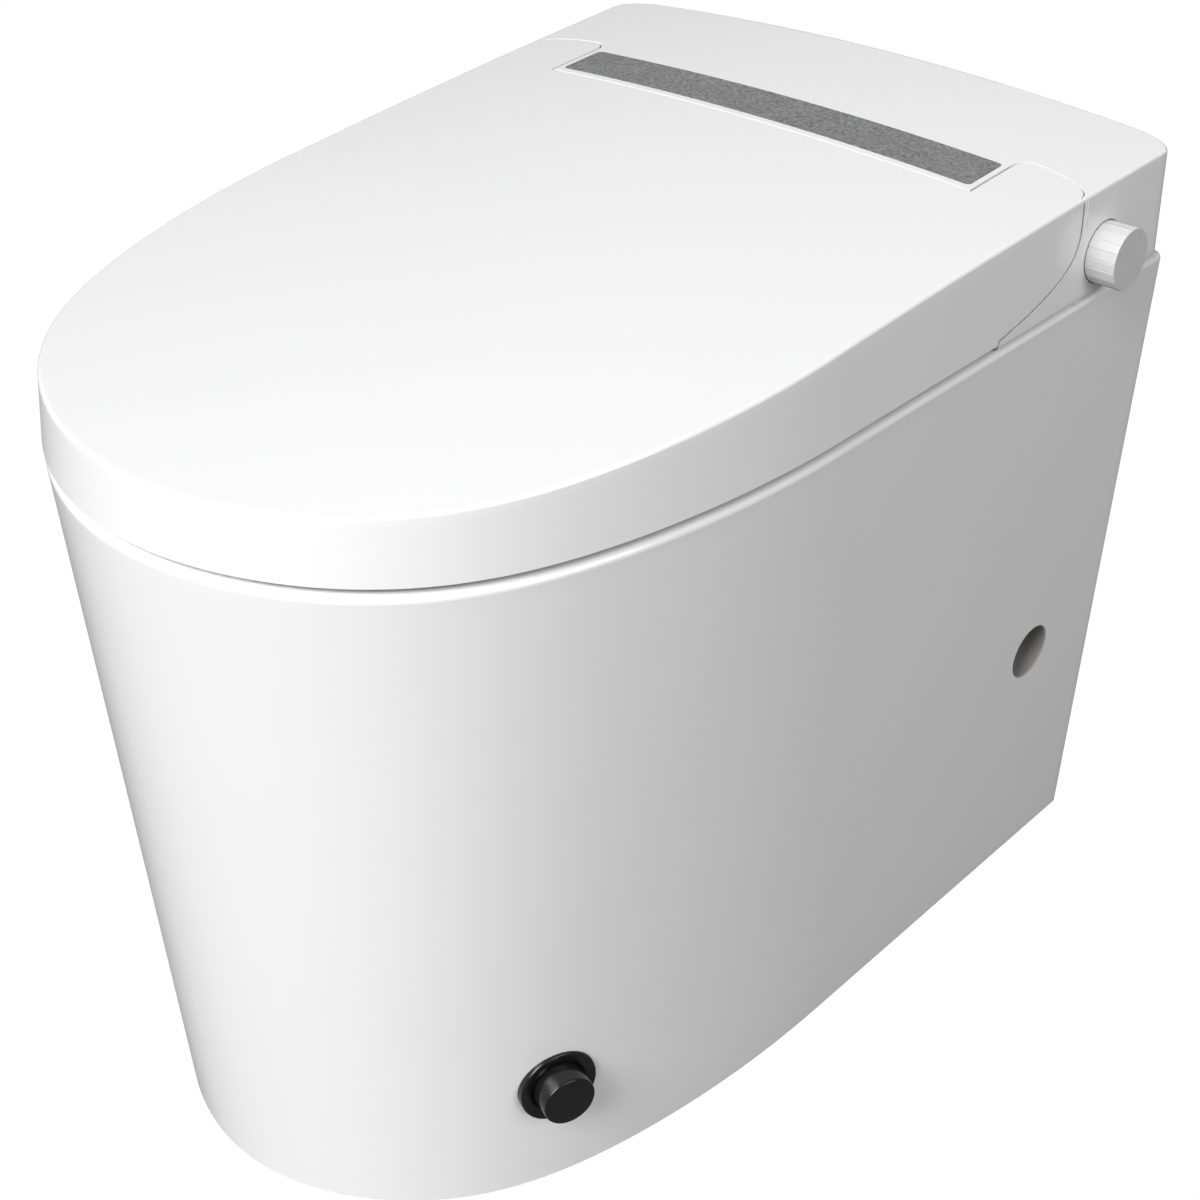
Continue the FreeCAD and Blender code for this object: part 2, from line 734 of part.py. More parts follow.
flush = flush.cut(bent_pipe(flush_in, flush_corner, flush_out, flush_bend, flush_bore)).cut(bowl_out)
keep("flush_pipe", max(flush.Solids, key=lambda s: s.Volume))
gland = Part.makeCylinder(gland_r, reach, Vector(gland_x, rear_y - 4 * hood_wall, gland_z), Vector(0, 1, 0))
keep("power_gland", gland.common(hood))

# Wash nozzles
nozzle = wash_block(nozzle_half_wide, nozzle_half_high, -nozzle_long, 0)
flange_rear = nozzle_y + nozzle_long * math.cos(dip) - slot_gap
flange_front = flange_rear - 4 * slot_gap
flange_half = slot_half + 3 * slot_gap
flange_high = rim_z + slot_gap
nozzle = nozzle.fuse(box(-flange_half, flange_half, flange_front, flange_rear, rim_z, flange_high))
nozzle = nozzle.fuse(box(
    -nozzle_half_wide, nozzle_half_wide, flange_front, flange_rear, rim_z - 2 * slot_gap, flange_high))
wand_places = (("rear_wand", -nozzle_pitch / 2), ("front_wand", nozzle_pitch / 2))
for name, x in wand_places:
    nozzle = nozzle.cut(wash_rod(x, -nozzle_long - 10, 10, wand_r + wand_fit))
    wand = wash_rod(x, -wand_long, 0, wand_r)
    tip = Vector(x, nozzle_y, nozzle_z)
    ends = [e for e in wand.Edges if (e.BoundBox.Center - tip).Length < 0.1]
    keep(name, wand.makeFillet(wand_r / 3, ends))
keep("nozzle_housing", nozzle)

# Knob
encoder = rod(knob_pad_in - encoder_long, knob_pad_in, knob_y, knob_z, encoder_r)
bore = rod(0, reach / 2, knob_y, knob_z, stem_r + stem_fit)
keep("knob_encoder", encoder.cut(bore))
stem_end = knob_back + (knob_face - knob_back) / 3
keep("knob_stem", rod(knob_pad_in - encoder_long + knob_travel, stem_end, knob_y, knob_z, stem_r))
corners = []
for i in range(knob_flats + 1):
    a = 2 * math.pi * (i + 0.5) / knob_flats
    corners.append(Vector(knob_back, knob_y + knob_r * math.cos(a), knob_z + knob_r * math.sin(a)))
knob = Part.Face(Part.makePolygon(corners)).extrude(Vector(knob_face - knob_back, 0, 0))
knob = knob.makeChamfer(0.6, [e for e in knob.Edges if e.BoundBox.XMin > knob_face - 0.01])
knob = knob.cut(rod(knob_back - 1, stem_end + 0.3, knob_y, knob_z, stem_r + stem_fit))
keep("control_knob", knob)

# Foot button
bezel = foot_rod(-1.5, bezel_thick, bezel_r)
rim = [e for e in bezel.Edges if (e.BoundBox.Center - foot_at - foot_axis * bezel_thick).Length < 0.1]
bezel = bezel.makeFillet(bezel_round, rim)
bezel = bezel.fuse(foot_rod(-foot_depth, -1.5, sleeve_r))
keep("foot_bezel", bezel.cut(foot_rod(-foot_depth - 1, 20, foot_cap_r + foot_fit)))
keep("foot_switch", foot_rod(-foot_depth - 14, -foot_depth, sleeve_r + 3))
cap = foot_rod(foot_travel + 2 - foot_depth, foot_proud, foot_cap_r)
rim = [e for e in cap.Edges if (e.BoundBox.Center - foot_at - foot_axis * foot_proud).Length < 0.1]
keep("foot_button", cap.makeFillet(foot_cap_round, rim))
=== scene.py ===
"""Smart toilet: the looks of each piece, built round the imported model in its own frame.

Sizes are in millimetres and become metres where a mesh is made. Front is -Y, the knob side is +X.
"""
import math

import bmesh
import bpy
import numpy as np
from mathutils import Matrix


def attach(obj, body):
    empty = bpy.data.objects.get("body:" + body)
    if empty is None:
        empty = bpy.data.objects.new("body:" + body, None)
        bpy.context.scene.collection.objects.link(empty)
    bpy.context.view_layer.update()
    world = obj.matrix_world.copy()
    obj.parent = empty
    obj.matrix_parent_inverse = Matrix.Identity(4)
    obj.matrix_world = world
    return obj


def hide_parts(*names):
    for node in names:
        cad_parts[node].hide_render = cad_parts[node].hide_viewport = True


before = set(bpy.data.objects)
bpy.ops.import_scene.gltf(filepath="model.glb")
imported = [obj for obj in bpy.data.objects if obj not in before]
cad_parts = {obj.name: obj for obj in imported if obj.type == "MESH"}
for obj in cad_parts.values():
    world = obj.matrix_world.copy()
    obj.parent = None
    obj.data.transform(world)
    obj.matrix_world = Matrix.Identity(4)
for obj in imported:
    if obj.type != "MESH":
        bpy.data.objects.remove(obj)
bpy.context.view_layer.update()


# Ceramic pan
# Slip-cast vitreous china: a skirt to the floor, a rolled rim and the bowl in one firing,
# under a thick white glaze. It stands on its foot and carries everything else.

rim_front, rim_half, rim_start, rim_z = -295.0, 198.7, -2.0, 411.5
base_front, base_half, base_start = -281.4, 172.3, 27.0
rear_y, rear_bow, flare, base_flare = 289.4, 3.2, 0.0117, 0.0033
front_power, front_fullness, front_skew = 2.62, 0.014, 0.024
pan_corner, base_corner, rim_round = 6.0, 4.0, 5.0
pan_wall, rim_under, bend_z = 12.0, 387.5, 330.0
bowl_centre, bowl_half, bowl_long = -98.0, 118.0, 152.0
sump_centre, sump_half, sump_long, bowl_bottom = -30.0, 34.0, 38.0, 84.0
bowl_wall, lip = 10.0, 8.0


class Flow:
    """A shader socket. Arithmetic on it adds Math nodes, and node() adds any other node."""

    def __init__(self, tree, socket=None):
        self.tree, self.socket = tree, socket

    def node(self, kind, settings=(), sockets=(), out=0):
        made = self.tree.nodes.new(kind)
        for key, value in dict(settings).items():
            setattr(made, key, value)
        for key, value in dict(sockets).items():
            if isinstance(value, Flow):
                self.tree.links.new(value.socket, made.inputs[key])
            else:
                made.inputs[key].default_value = value
        return Flow(self.tree, made.outputs[out]) if made.outputs else None

    def math(self, operation, first, second):
        return self.node("ShaderNodeMath", {"operation": operation}, {0: first, 1: second})

    def __add__(self, other):
        return self.math("ADD", self, other)

    def __sub__(self, other):
        return self.math("SUBTRACT", self, other)

    def __rsub__(self, other):
        return self.math("SUBTRACT", other, self)

    def __mul__(self, other):
        return self.math("MULTIPLY", self, other)

    __radd__, __rmul__ = __add__, __mul__

    def noise(self, scale, detail=2.0, rough=0.5):
        """Cloudy noise from 0 to 1 on these coordinates, scale in waves per metre."""
        sockets = {"Vector": self, "Scale": scale, "Detail": detail, "Roughness": rough}
        return self.node("ShaderNodeTexNoise", (), sockets)

    def tint(self, low, high):
        """Colour that goes from low to high as this value goes from 0 to 1."""
        return self.node("ShaderNodeMix", {"data_type": "RGBA"}, {0: self, 6: (*low, 1), 7: (*high, 1)}, 2)

    def bump(self, depth, strength=1.0):
        """Normal of a surface raised by this value times a depth in metres."""
        return self.node("ShaderNodeBump", (), {"Height": self, "Distance": depth, "Strength": strength})


def finish_of(name, recipe, **fixed):
    """Material from a recipe that takes Object coordinates and returns the sockets that vary.

    The fixed sockets are set to one value each."""
    made = bpy.data.materials.new(name)
    made.use_nodes = True
    made.node_tree.nodes.clear()
    place = Flow(made.node_tree).node("ShaderNodeTexCoord", out="Object")
    surface = place.node("ShaderNodeBsdfPrincipled", (), {**fixed, **recipe(place)})
    place.node("ShaderNodeOutputMaterial", (), {"Surface": surface})
    return made


def glaze(place):
    """Glaze: soft cloudy thickness, pinpoint specks and the slow ripple of a dipped coat."""
    cloud = place.noise(9, 3)
    ripple = place.noise(22, 1)
    speck = place.noise(900, 1)
    return {
        "Base Color": cloud.tint((0.880, 0.881, 0.881), (0.902, 0.902, 0.901)),
        "Roughness": 0.16 + 0.05 * cloud + 0.02 * speck,
        "Normal": (ripple + 0.02 * speck).bump(0.0004, 0.35),
    }


glazed_white = finish_of("glazed_white", glaze, **{"IOR": 1.5, "Coat Weight": 0.25, "Coat Roughness": 0.06})


def bare_china(place):
    """Unglazed inside of the casting: chalky, with drip clouds and a sandy skin."""
    cloud = place.noise(14, 4)
    sand = place.noise(800, 2)
    return {
        "Base Color": cloud.tint((0.31, 0.305, 0.298), (0.4, 0.392, 0.382)),
        "Roughness": 0.75 + 0.1 * sand,
        "Normal": sand.bump(0.0001, 0.4),
    }


raw_china = finish_of("raw_china", bare_china, **{"IOR": 1.5})


def front_curve(turn):
    """Shares of the half width and of the nose depth along the front, turn from the nose to the side.

    Across it is the root of 1 - cos to a power, swelled by two sine terms; back it is 1 - cos."""
    full = 1 + front_fullness * np.sin(2 * turn) ** 2 + front_skew * np.sin(4 * turn) * np.sin(2 * turn)
    return np.sqrt(np.maximum(1 - np.cos(turn) ** front_power, 0)) * full, 1 - np.cos(turn)


front_turns = np.linspace(0, math.pi / 2, 48, endpoint=False)
side_steps = np.linspace(0, 1, 46, endpoint=False)
corner_turns = np.linspace(0, math.pi / 2, 8, endpoint=False)
rear_steps = np.linspace(0, 1, 25)


def plan_rings(front, half, start, spread, wide, long, rear, bow):
    """Closed plan outlines, one row for each set of sizes, from the nose by the right side round to the nose.

    Each is the front curve, a straight spreading side, a quarter-oval corner and a parabola across the back."""
    sizes = np.broadcast_arrays(front, half, start, spread, wide, long, rear, bow)
    front, half, start, spread, wide, long, rear, bow = (np.reshape(v, (-1, 1)).astype(float) for v in sizes)
    across, deep = front_curve(front_turns)
    edge = rear - bow
    far = half + spread * (edge - start)
    x = [half * across, half + (far - half) * side_steps]
    y = [front + (start - front) * deep, start + (edge - long - start) * side_steps]
    x += [far - wide + wide * np.cos(corner_turns), (far - wide) * (1 - rear_steps)]
    y += [edge - long + long * np.sin(corner_turns), edge + bow * (1 - (1 - rear_steps) ** 2)]
    x, y = np.hstack(x), np.hstack(y)
    return np.hstack([x, -x[:, -2::-1]]), np.hstack([y, y[:, -2::-1]])


def pan_rings(z, inset):
    """Outlines of the pan at heights z drawn in by insets: every size runs evenly from foot to rim."""
    s = z / rim_z
    half = base_half + (rim_half - base_half) * s - inset
    front = base_front + (rim_front - base_front) * s + inset
    start = base_start + (rim_start - base_start) * s
    spread = base_flare + (flare - base_flare) * s
    corner = np.maximum(base_corner + (pan_corner - base_corner) * s - inset, 3)
    x, y = plan_rings(front, half, start, spread, corner, corner, rear_y - inset, rear_bow)
    return np.stack([x, y, np.broadcast_to(z[:, None], x.shape)], -1)


def bowl_rings(z, low, grow, angle, shrink=1.0):
    """Ellipses of the bowl at heights z: centre and size run to the sump with the 1.8th power of the depth."""
    deep = (np.maximum(rim_z - z, 0) / (rim_z - low)) ** 1.8
    centre = bowl_centre + (sump_centre - bowl_centre) * deep
    half = (bowl_half + (sump_half - bowl_half) * deep + grow) * shrink
    long = (bowl_long + (sump_long - bowl_long) * deep + grow) * shrink
    x = half[:, None] * np.cos(angle)
    y = centre[:, None] + long[:, None] * np.sin(angle)
    return np.stack([x, y, np.broadcast_to(z[:, None], x.shape)], -1)


def blend_rows(first, last, shares):
    """Rows of points between a first and a last row, at the given shares."""
    s = np.asarray(shares, float)[:, None, None]
    return first * (1 - s) + last * s


def grid_at(points, row, col):
    """Points of a grid at fractional rows and columns, by blending the four nearest."""
    r = np.clip(np.floor(row).astype(int), 0, points.shape[0] - 2)
    c = np.clip(np.floor(col).astype(int), 0, points.shape[1] - 2)
    p, q = (row - r)[..., None], (col - c)[..., None]
    low = points[r, c] * (1 - q) + points[r, c + 1] * q
    high = points[r + 1, c] * (1 - q) + points[r + 1, c + 1] * q
    return low * (1 - p) + high * p


def border_of(block):
    """Rows and columns of the points round a block of cells: first row, last row, first column, last column."""
    r0, r1, c0, c1 = block
    down, across = np.arange(r0, r1), np.arange(c0, c1)
    rows = np.concatenate([0 * across + r0, down, 0 * across + r1, down[::-1] + 1, [r0]])
    cols = np.concatenate([across, 0 * down + c1, across[::-1] + 1, 0 * down + c0, [c0]])
    return rows.astype(float), cols.astype(float)


def hole_rings(points, block, at, side, up, radius, shares):
    """Rings of points on a grid from the border of a block of cells to a circle about an axis, at shares 0 to 1.

    Side and up span the circle's plane. Newton's steps on row and column bring each border point to the circle."""
    rows, cols = border_of(block)
    axes = np.stack([side, up], 1)

    def flat(row, col):
        return (grid_at(points, row, col) - at) @ axes

    goal = flat(rows, cols)
    goal = radius * goal / np.linalg.norm(goal, axis=-1, keepdims=True)
    row, col = rows + 0.4 * (rows.mean() - rows), cols + 0.4 * (cols.mean() - cols)
    for _ in range(14):
        miss = goal - flat(row, col)
        a = (flat(row + 0.2, col) - flat(row - 0.2, col)) / 0.4
        b = (flat(row, col + 0.2) - flat(row, col - 0.2)) / 0.4
        area = a[:, 0] * b[:, 1] - a[:, 1] * b[:, 0]
        row = row + (miss[:, 0] * b[:, 1] - miss[:, 1] * b[:, 0]) / area
        col = col + (a[:, 0] * miss[:, 1] - a[:, 1] * miss[:, 0]) / area
    s = np.asarray(shares, float)[:, None]
    return grid_at(points, rows * (1 - s) + row * s, cols * (1 - s) + col * s)


def cells_left(points, blocks):
    """Mask of a grid's cells that is False inside the blocks."""
    left = np.ones((points.shape[0] - 1, points.shape[1] - 1), bool)
    for r0, r1, c0, c1 in blocks:
        left[r0:r1, c0:c1] = False
    return left


def skin(name, patches, finishes, sharp=38):
    """Piece made of grids of points: every cell kept by its mask is a quad, and borders that meet are merged.

    A patch is its points, its mask or None, whether its faces are turned over, and the number of its finish."""
    spots, quads, coats, count = [], [], [], 0
    for points, left, turned, coat in patches:
        rows, cols = points.shape[:2]
        index = count + np.arange(rows * cols).reshape(rows, cols)
        quad = np.stack([index[:-1, :-1], index[:-1, 1:], index[1:, 1:], index[1:, :-1]], -1)
        quad = quad[..., ::-1] if turned else quad
        quads.append(quad.reshape(-1, 4) if left is None else quad[left])
        coats.append(np.full(len(quads[-1]), coat))
        spots.append(points.reshape(-1, 3))
        count += rows * cols
    used, quads = np.unique(np.vstack(quads), return_inverse=True)
    mesh = bpy.data.meshes.new(name)
    mesh.from_pydata((np.vstack(spots)[used] * 0.001).tolist(), [], quads.reshape(-1, 4).tolist())
    mesh.polygons.foreach_set("material_index", np.concatenate(coats).astype(np.int32))
    shape = bmesh.new()
    shape.from_mesh(mesh)
    bmesh.ops.remove_doubles(shape, verts=shape.verts, dist=4e-6)
    shape.to_mesh(mesh)
    shape.free()
    mesh.shade_smooth()
    mesh.set_sharp_from_angle(angle=math.radians(sharp))
    for finish in finishes:
        mesh.materials.append(finish)
    piece = bpy.data.objects.new(name, mesh)
    bpy.context.scene.collection.objects.link(piece)
    return piece


def mount(piece, body, slot, *nodes):
    """The piece rides on a body and stands for the nodes. The slot is not used."""
    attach(piece, body)
    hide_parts(*nodes)


# The glazed face and the raw face behind it have the same rows and columns, so that each hole joins them
skirt_z = np.linspace(0, rim_z - rim_round, 69)
under_share = (rim_under - bend_z) / (skirt_z[-1] - bend_z)
skirt_back = np.where(skirt_z < bend_z, skirt_z, bend_z + (skirt_z - bend_z) * under_share)
roll = np.linspace(0, math.pi / 2, 7)[1:]
face = [pan_rings(skirt_z, 0 * skirt_z)]
back = [pan_rings(skirt_back, 0 * skirt_z + pan_wall)]
edge_rows = pan_rings(0 * roll + rim_z, rim_round * (1 - np.cos(roll)))
edge_rows[..., 2] = (rim_z - rim_round * (1 - np.sin(roll)))[:, None]
face.append(edge_rows)
under_rows = pan_rings(0 * roll + rim_under, pan_wall + roll)
back.append(under_rows)

# Angle on the bowl for each column: radial in front, then crowded along the side, nearly parallel at the back
rim_x, rim_y = edge_rows[-1, :, 0], edge_rows[-1, :, 1]
n_front, n_side, n_corner = len(front_turns), len(side_steps), len(corner_turns)
radial = np.arctan2((rim_y - bowl_centre) / bowl_long, rim_x / bowl_half)
back_x = np.abs(rim_x[n_front + n_side + n_corner:][:len(rear_steps)])
back_angle = np.arccos(np.where(back_x < 60, 0.9 * back_x, 54 + 0.39 * (back_x - 60)) / bowl_half)
side_angle = np.linspace(radial[n_front], back_angle[0], n_side + n_corner, endpoint=False)
half_angle = np.concatenate([radial[:n_front], side_angle, back_angle])
angle = np.concatenate([half_angle, np.pi - half_angle[-2::-1]])

deck_shares = [0.14, 0.28, 0.42, 0.54, 0.66, 0.78, 0.9, 1.0]
lip_turn = np.linspace(0, math.pi / 2, 6)[1:]
slot_low = 359.0
slot_share = (rim_z - lip - slot_low) / (rim_z - lip - bowl_bottom)
depth_shares = np.concatenate([np.linspace(0, slot_share, 5)[1:], np.linspace(slot_share, 1, 26)[1:]])
under_lip = rim_under - 6.5
rim_edge = bowl_rings(np.array([rim_z]), bowl_bottom, lip, angle)
face.append(blend_rows(edge_rows[-1:], rim_edge, deck_shares))
lip_rows = [bowl_rings(np.array([rim_z]), bowl_bottom, lip * (1 - math.sin(t)), angle) for t in lip_turn]
lip_rows = np.concatenate(lip_rows)
lip_rows[..., 2] = (rim_z - lip * (1 - np.cos(lip_turn)))[:, None]
face.append(lip_rows)
face.append(bowl_rings(rim_z - lip - (rim_z - lip - bowl_bottom) * depth_shares, bowl_bottom, 0, angle))
sump_shrink = np.array([0.8, 0.55, 0.3, 0.0])
face.append(bowl_rings(0 * sump_shrink + bowl_bottom, bowl_bottom, 0, angle, sump_shrink))
under_low = bowl_bottom - bowl_wall
under_edge = bowl_rings(np.array([rim_under]), under_low, bowl_wall + 2, angle)
back.append(blend_rows(under_rows[-1:], under_edge, deck_shares))
back.append(bowl_rings(np.linspace(rim_under, under_lip, 6)[1:], under_low, bowl_wall, angle))
back.append(bowl_rings(under_lip - (under_lip - under_low) * depth_shares, under_low, bowl_wall, angle))
back.append(bowl_rings(0 * sump_shrink + under_low, under_low, bowl_wall, angle, sump_shrink))
face, back = np.concatenate(face), np.concatenate(back)
columns = face.shape[1]
middle = (columns - 1) // 2

# Fixing holes in the sides, round, with an eased edge, each with a collar behind the wall
hole_y, hole_z, hole_r, collar_r, collar_x = 210.3, 166.4, 17.2, 23.0, 152.0
along, upright = np.array([0.0, 1.0, 0.0]), np.array([0.0, 0.0, 1.0])
hole_row = round(hole_z / (skirt_z[1] - skirt_z[0]))
blocks, patches = [], []
for side in (1, -1):
    at = np.array([side * 185.0, hole_y, hole_z])
    block = (hole_row - 5, hole_row + 5, n_front + 29, n_front + 40)
    if side < 0:
        block = (block[0], block[1], columns - 1 - block[3], columns - 1 - block[2])
    wide = hole_rings(face, block, at, along, upright, hole_r + 0.7, (0, 0.35, 0.7, 1))
    bore = hole_rings(face, block, at, along, upright, hole_r, (1,))
    inner = hole_rings(back, block, at, along, upright, collar_r, (1, 0.6, 0.3, 0))
    deep = bore * [0, 1, 1] + [side * collar_x, 0, 0]
    outer = inner[:1] * [0, 1, 1] + [side * collar_x, 0, 0]
    eased = 0.975 * bore + 0.025 * deep
    patches.append((wide, None, False, 0))
    sleeve = [wide[-1:], eased, 0.5 * bore + 0.5 * deep, deep, outer, inner]
    patches.append((np.concatenate(sleeve), None, False, 1))
    blocks.append(block)

# Round pocket for the foot button, with a step for its ring
foot_at, foot_turn = np.array([146.1, -177.9, 74.0]), math.radians(-20)
foot_axis = np.array([math.cos(foot_turn), math.sin(foot_turn), 0.0])
foot_side = np.array([-math.sin(foot_turn), math.cos(foot_turn), 0.0])
ring_r, sleeve_r, step_deep = 22.6, 17.3, 2.2
foot_row = round(foot_at[2] / (skirt_z[1] - skirt_z[0]))
foot_col = int(np.argmin(abs(face[foot_row, :n_front, 1] - foot_at[1])))
block = (foot_row - 6, foot_row + 6, foot_col - 5, foot_col + 5)
rings = hole_rings(face, block, foot_at, foot_side, upright, ring_r, (0, 0.35, 0.7, 1))
axes = np.stack([foot_side, upright], 1)
spoke = (rings[-1] - foot_at) @ axes / ring_r
step_out = foot_at - step_deep * foot_axis + ring_r * spoke @ axes.T
step_in = foot_at - step_deep * foot_axis + sleeve_r * spoke @ axes.T
inner = hole_rings(back, block, foot_at, foot_side, upright, sleeve_r, (1, 0.5, 0))
patches.append((np.concatenate([rings, step_out[None], step_in[None]]), None, False, 0))
patches.append((np.concatenate([step_in[None], inner]), None, False, 1))
blocks.append(block)

# Service opening in the back wall, then the slot for the wash nozzles in the deck, both with square edges
first_low, first_high = (int(np.argmin(abs(skirt_z - z))) for z in (30.0, 330.0))
back_half = int(np.argmin(abs(face[30, middle:middle + 25, 0] + 90.0)))
deck_row = len(skirt_z) + len(roll) + 3
slot_end = len(skirt_z) + len(roll) + len(deck_shares) + len(lip_turn) + 3
service_block = (first_low, first_high, middle - back_half, middle + back_half)
for block in (service_block, (deck_row, slot_end, middle - 6, middle + 6)):
    patches.append((np.stack([grid_at(grid, *border_of(block)) for grid in (face, back)]), None, False, 0))
    blocks.append(block)

# Mouth of the trap low in the back of the bowl, round about the trap's rising axis
trap_at, trap_r = np.array([0.0, -8.0, 110.0]), 22.0
trap_up = np.array([0.0, -math.sqrt(0.5), math.sqrt(0.5)])
bowl_row = len(skirt_z) + len(roll) + len(deck_shares) + len(lip_turn)
mouth_row = bowl_row + int(np.argmin(abs(face[bowl_row:bowl_row + len(depth_shares), middle, 2] - 136.0)))
block = (mouth_row - 4, mouth_row + 4, middle - 12, middle + 12)
rightward = np.array([1.0, 0.0, 0.0])
rings = [hole_rings(grid, block, trap_at, rightward, trap_up, trap_r, (0, 0.5, 1)) for grid in (face, back)]
patches.append((rings[0], None, False, 0))
patches.append((np.concatenate([rings[0][-1:], rings[1][::-1]]), None, False, 1))
blocks.append(block)

# Stiffening web across the hollow, a bar let into both side walls
web_half, web_y, web_low, web_high = 163.0, 7.0, 0.5, 60.0
web_line = np.array([[0, -web_y, web_low], [0, web_y, web_low], [0, web_y, web_high], [0, -web_y, web_high],
                     [0, -web_y, web_low]])
web_mid = web_line[:-1].mean(0) + 0 * web_line
web_end = np.array([web_half, 0, 0])
web = np.stack([web_mid - web_end, web_line - web_end, web_line + web_end, web_mid + web_end])
patches.append((web, None, True, 1))

patches += [(face, cells_left(face, blocks), False, 0), (back, cells_left(back, blocks), True, 1)]
patches.append((np.stack([back[0], face[0]]), None, False, 1))
pan = skin("pan", patches, [glazed_white, raw_china])
mount(pan, "base", "glazed_white", "ceramic_pan")


# Lid
# Injection-moulded shell in glossy white plastic, crowned across and rising to the back, with a small
# rolled edge. It is notched round the display tongue and turns on two pins in its ears.

hood_low, hood_wall, corner_wide, corner_long = 415.5, 3.5, 34.0, 15.0
lean_front, lean_side, flare_rise = 0.136, 0.0265, 0.000113
top_z, top_slope, top_radius, crown_radius = 472.5, 0.061, 7130.0, 2416.0
edge_run, edge_weight = 1.9, 0.74
split_front, split_step, split_rear, split_bend, split_gap = 118.0, 3.0, 190.5, 0.225, 1.6
hinge_y, hinge_z, knuckle_r, knuckle_out = 183.0, 471.0, 7.5, 168.0
notch_half, notch_front, ear_start = 152.0, 157.0, 60.0
ear_rear, ear_bow, ear_flat, ear_corner = 190.4, 17.0, 155.0, 10.0


def plastic(place):
    """Moulded plastic: even white with faint flow clouds and a fine orange-peel skin."""
    cloud = place.noise(6, 2)
    peel = place.noise(420, 2)
    return {
        "Base Color": cloud.tint((0.845, 0.846, 0.847), (0.868, 0.868, 0.868)),
        "Roughness": 0.19 + 0.05 * cloud,
        "Normal": peel.bump(0.00003, 0.3),
    }


hood_white = finish_of("hood_white", plastic, **{"IOR": 1.49, "Coat Weight": 0.15, "Coat Roughness": 0.12})


def crown_z(x, y):
    """Height of the hood's top: a wide circle across, carried along a larger circle from front to back."""
    lean = math.hypot(1, top_slope)
    sag = crown_radius - np.sqrt(crown_radius ** 2 - x ** 2)
    along = y - top_radius * top_slope / lean
    return top_z - top_radius / lean + np.sqrt((top_radius - sag) ** 2 - along ** 2)


def hood_sizes(z, inset):
    """Nose, half width, straight edge of the back and width there, at heights z and an inset."""
    nose = rim_front + lean_front * (z - hood_low) + inset
    half = rim_half - lean_side * (z - hood_low) - inset
    edge = rear_y - inset - rear_bow
    return nose, half, edge, half + (flare + flare_rise * (z - rim_z)) * (edge - rim_start)


def side_x(z, y):
    """Half width along the straight side, which spreads evenly to the rear corner."""
    nose, half, edge, far = hood_sizes(z, 0.0)
    return half + (far - half) * (y - rim_start) / (edge - corner_long - rim_start)


def rounded_edge(plan, count):
    """Rows over the hood's edge: a circular arc from the wall to the crown, as a rational curve.

    The sharp edge is where the outline meets the crown, found by repeating z = crown height."""
    z = np.full(count, top_z)
    for _ in range(8):
        x, y = plan(z, 0.0)
        z = crown_z(x, y)
    corner = np.stack([x, y, z], -1)
    x, y = plan(z - edge_run, 0.0)
    wall = np.stack([x, y, z - edge_run], -1)
    x, y = plan(z, edge_run)
    crown = np.stack([x, y, crown_z(x, y)], -1)
    t = np.linspace(0, 1, 9)[:, None, None]
    a, b, c = (1 - t) ** 2, 2 * edge_weight * t * (1 - t), t * t
    return (a * wall + b * corner + c * crown) / (a + b + c)


def wall_rows(plan, low, high, shares):
    """Rows of the side wall between a low and a high line."""
    rows = []
    for share in shares:
        z = low + (high - low) * share
        x, y = plan(z, 0.0)
        rows.append(np.stack([x, y, z], -1))
    return np.stack(rows)


def split_z(y, gap):
    """Height of the side split: a power curve that starts low and ends upright, moved back and down by a gap."""
    u = np.clip((y - split_front - gap) / (split_rear - split_front), 0, 1)
    low = hood_low + split_step - gap
    return low + (hinge_z - low) * (1 - (1 - u) ** split_bend)


lid_turns = np.linspace(0, math.pi / 2, 64, endpoint=False)
lid_runs = np.concatenate([
    np.linspace(rim_start, split_front, 14), [118.1, 119, 121, 124, 128, 133, 139, 145, 151, notch_front],
    [162, 167, 172, 176, 179.5, 182.5, 184.7, 186.3, 187.5, 188.4, 189.1, 189.6, 190.0, 190.25, ear_rear]])


def lid_plan(z, inset):
    """Right half of the lid's outline at the height of each column: front curve, then straight side."""
    nose, half, edge, far = hood_sizes(z, inset)
    wide, deep = front_curve(lid_turns)
    n = len(lid_turns)
    x = np.concatenate([half[:n] * wide, side_x(z[n:], lid_runs) - inset])
    return x, np.concatenate([nose[:n] + (rim_start - nose[:n]) * deep, lid_runs])


def mirrored(rows):
    """Rows of the right half, nose first, joined to their mirror image from the left."""
    return np.concatenate([rows[:, :0:-1] * [-1, 1, 1], rows], 1)


lid_count = len(lid_turns) + len(lid_runs)
lid_edge = rounded_edge(lid_plan, lid_count)
lid_low = np.where(lid_runs > split_front, split_z(lid_runs, 0.0), hood_low)
lid_low = np.concatenate([np.full(len(lid_turns), hood_low), lid_low])
lid_low = np.minimum(lid_low, lid_edge[0, :, 2] - 0.4)
lid_wall = wall_rows(lid_plan, lid_low, lid_edge[0, :, 2], np.linspace(0, 1, 9)[:-1])
ear_share = notch_half / lid_edge[-1, -1, 0]
lid_x, lid_y = lid_edge[-1, :, 0], lid_edge[-1, :, 1]
ear_in = np.where(lid_y > ear_start, notch_half, ear_share * lid_x)[:, None]
ear_steps, mid_steps = (1 - np.cos(np.linspace(0, math.pi, 18))) / 2, np.linspace(-1, 1, 41)
lid_top_x = np.hstack([-ear_in - (lid_x[:, None] - ear_in) * ear_steps[:0:-1], ear_in * mid_steps,
                       ear_in + (lid_x[:, None] - ear_in) * ear_steps[1:]])
lid_top_y = np.broadcast_to(lid_y[:, None], lid_top_x.shape)
lid_top = np.stack([lid_top_x, lid_top_y, crown_z(lid_top_x, lid_top_y)], -1)
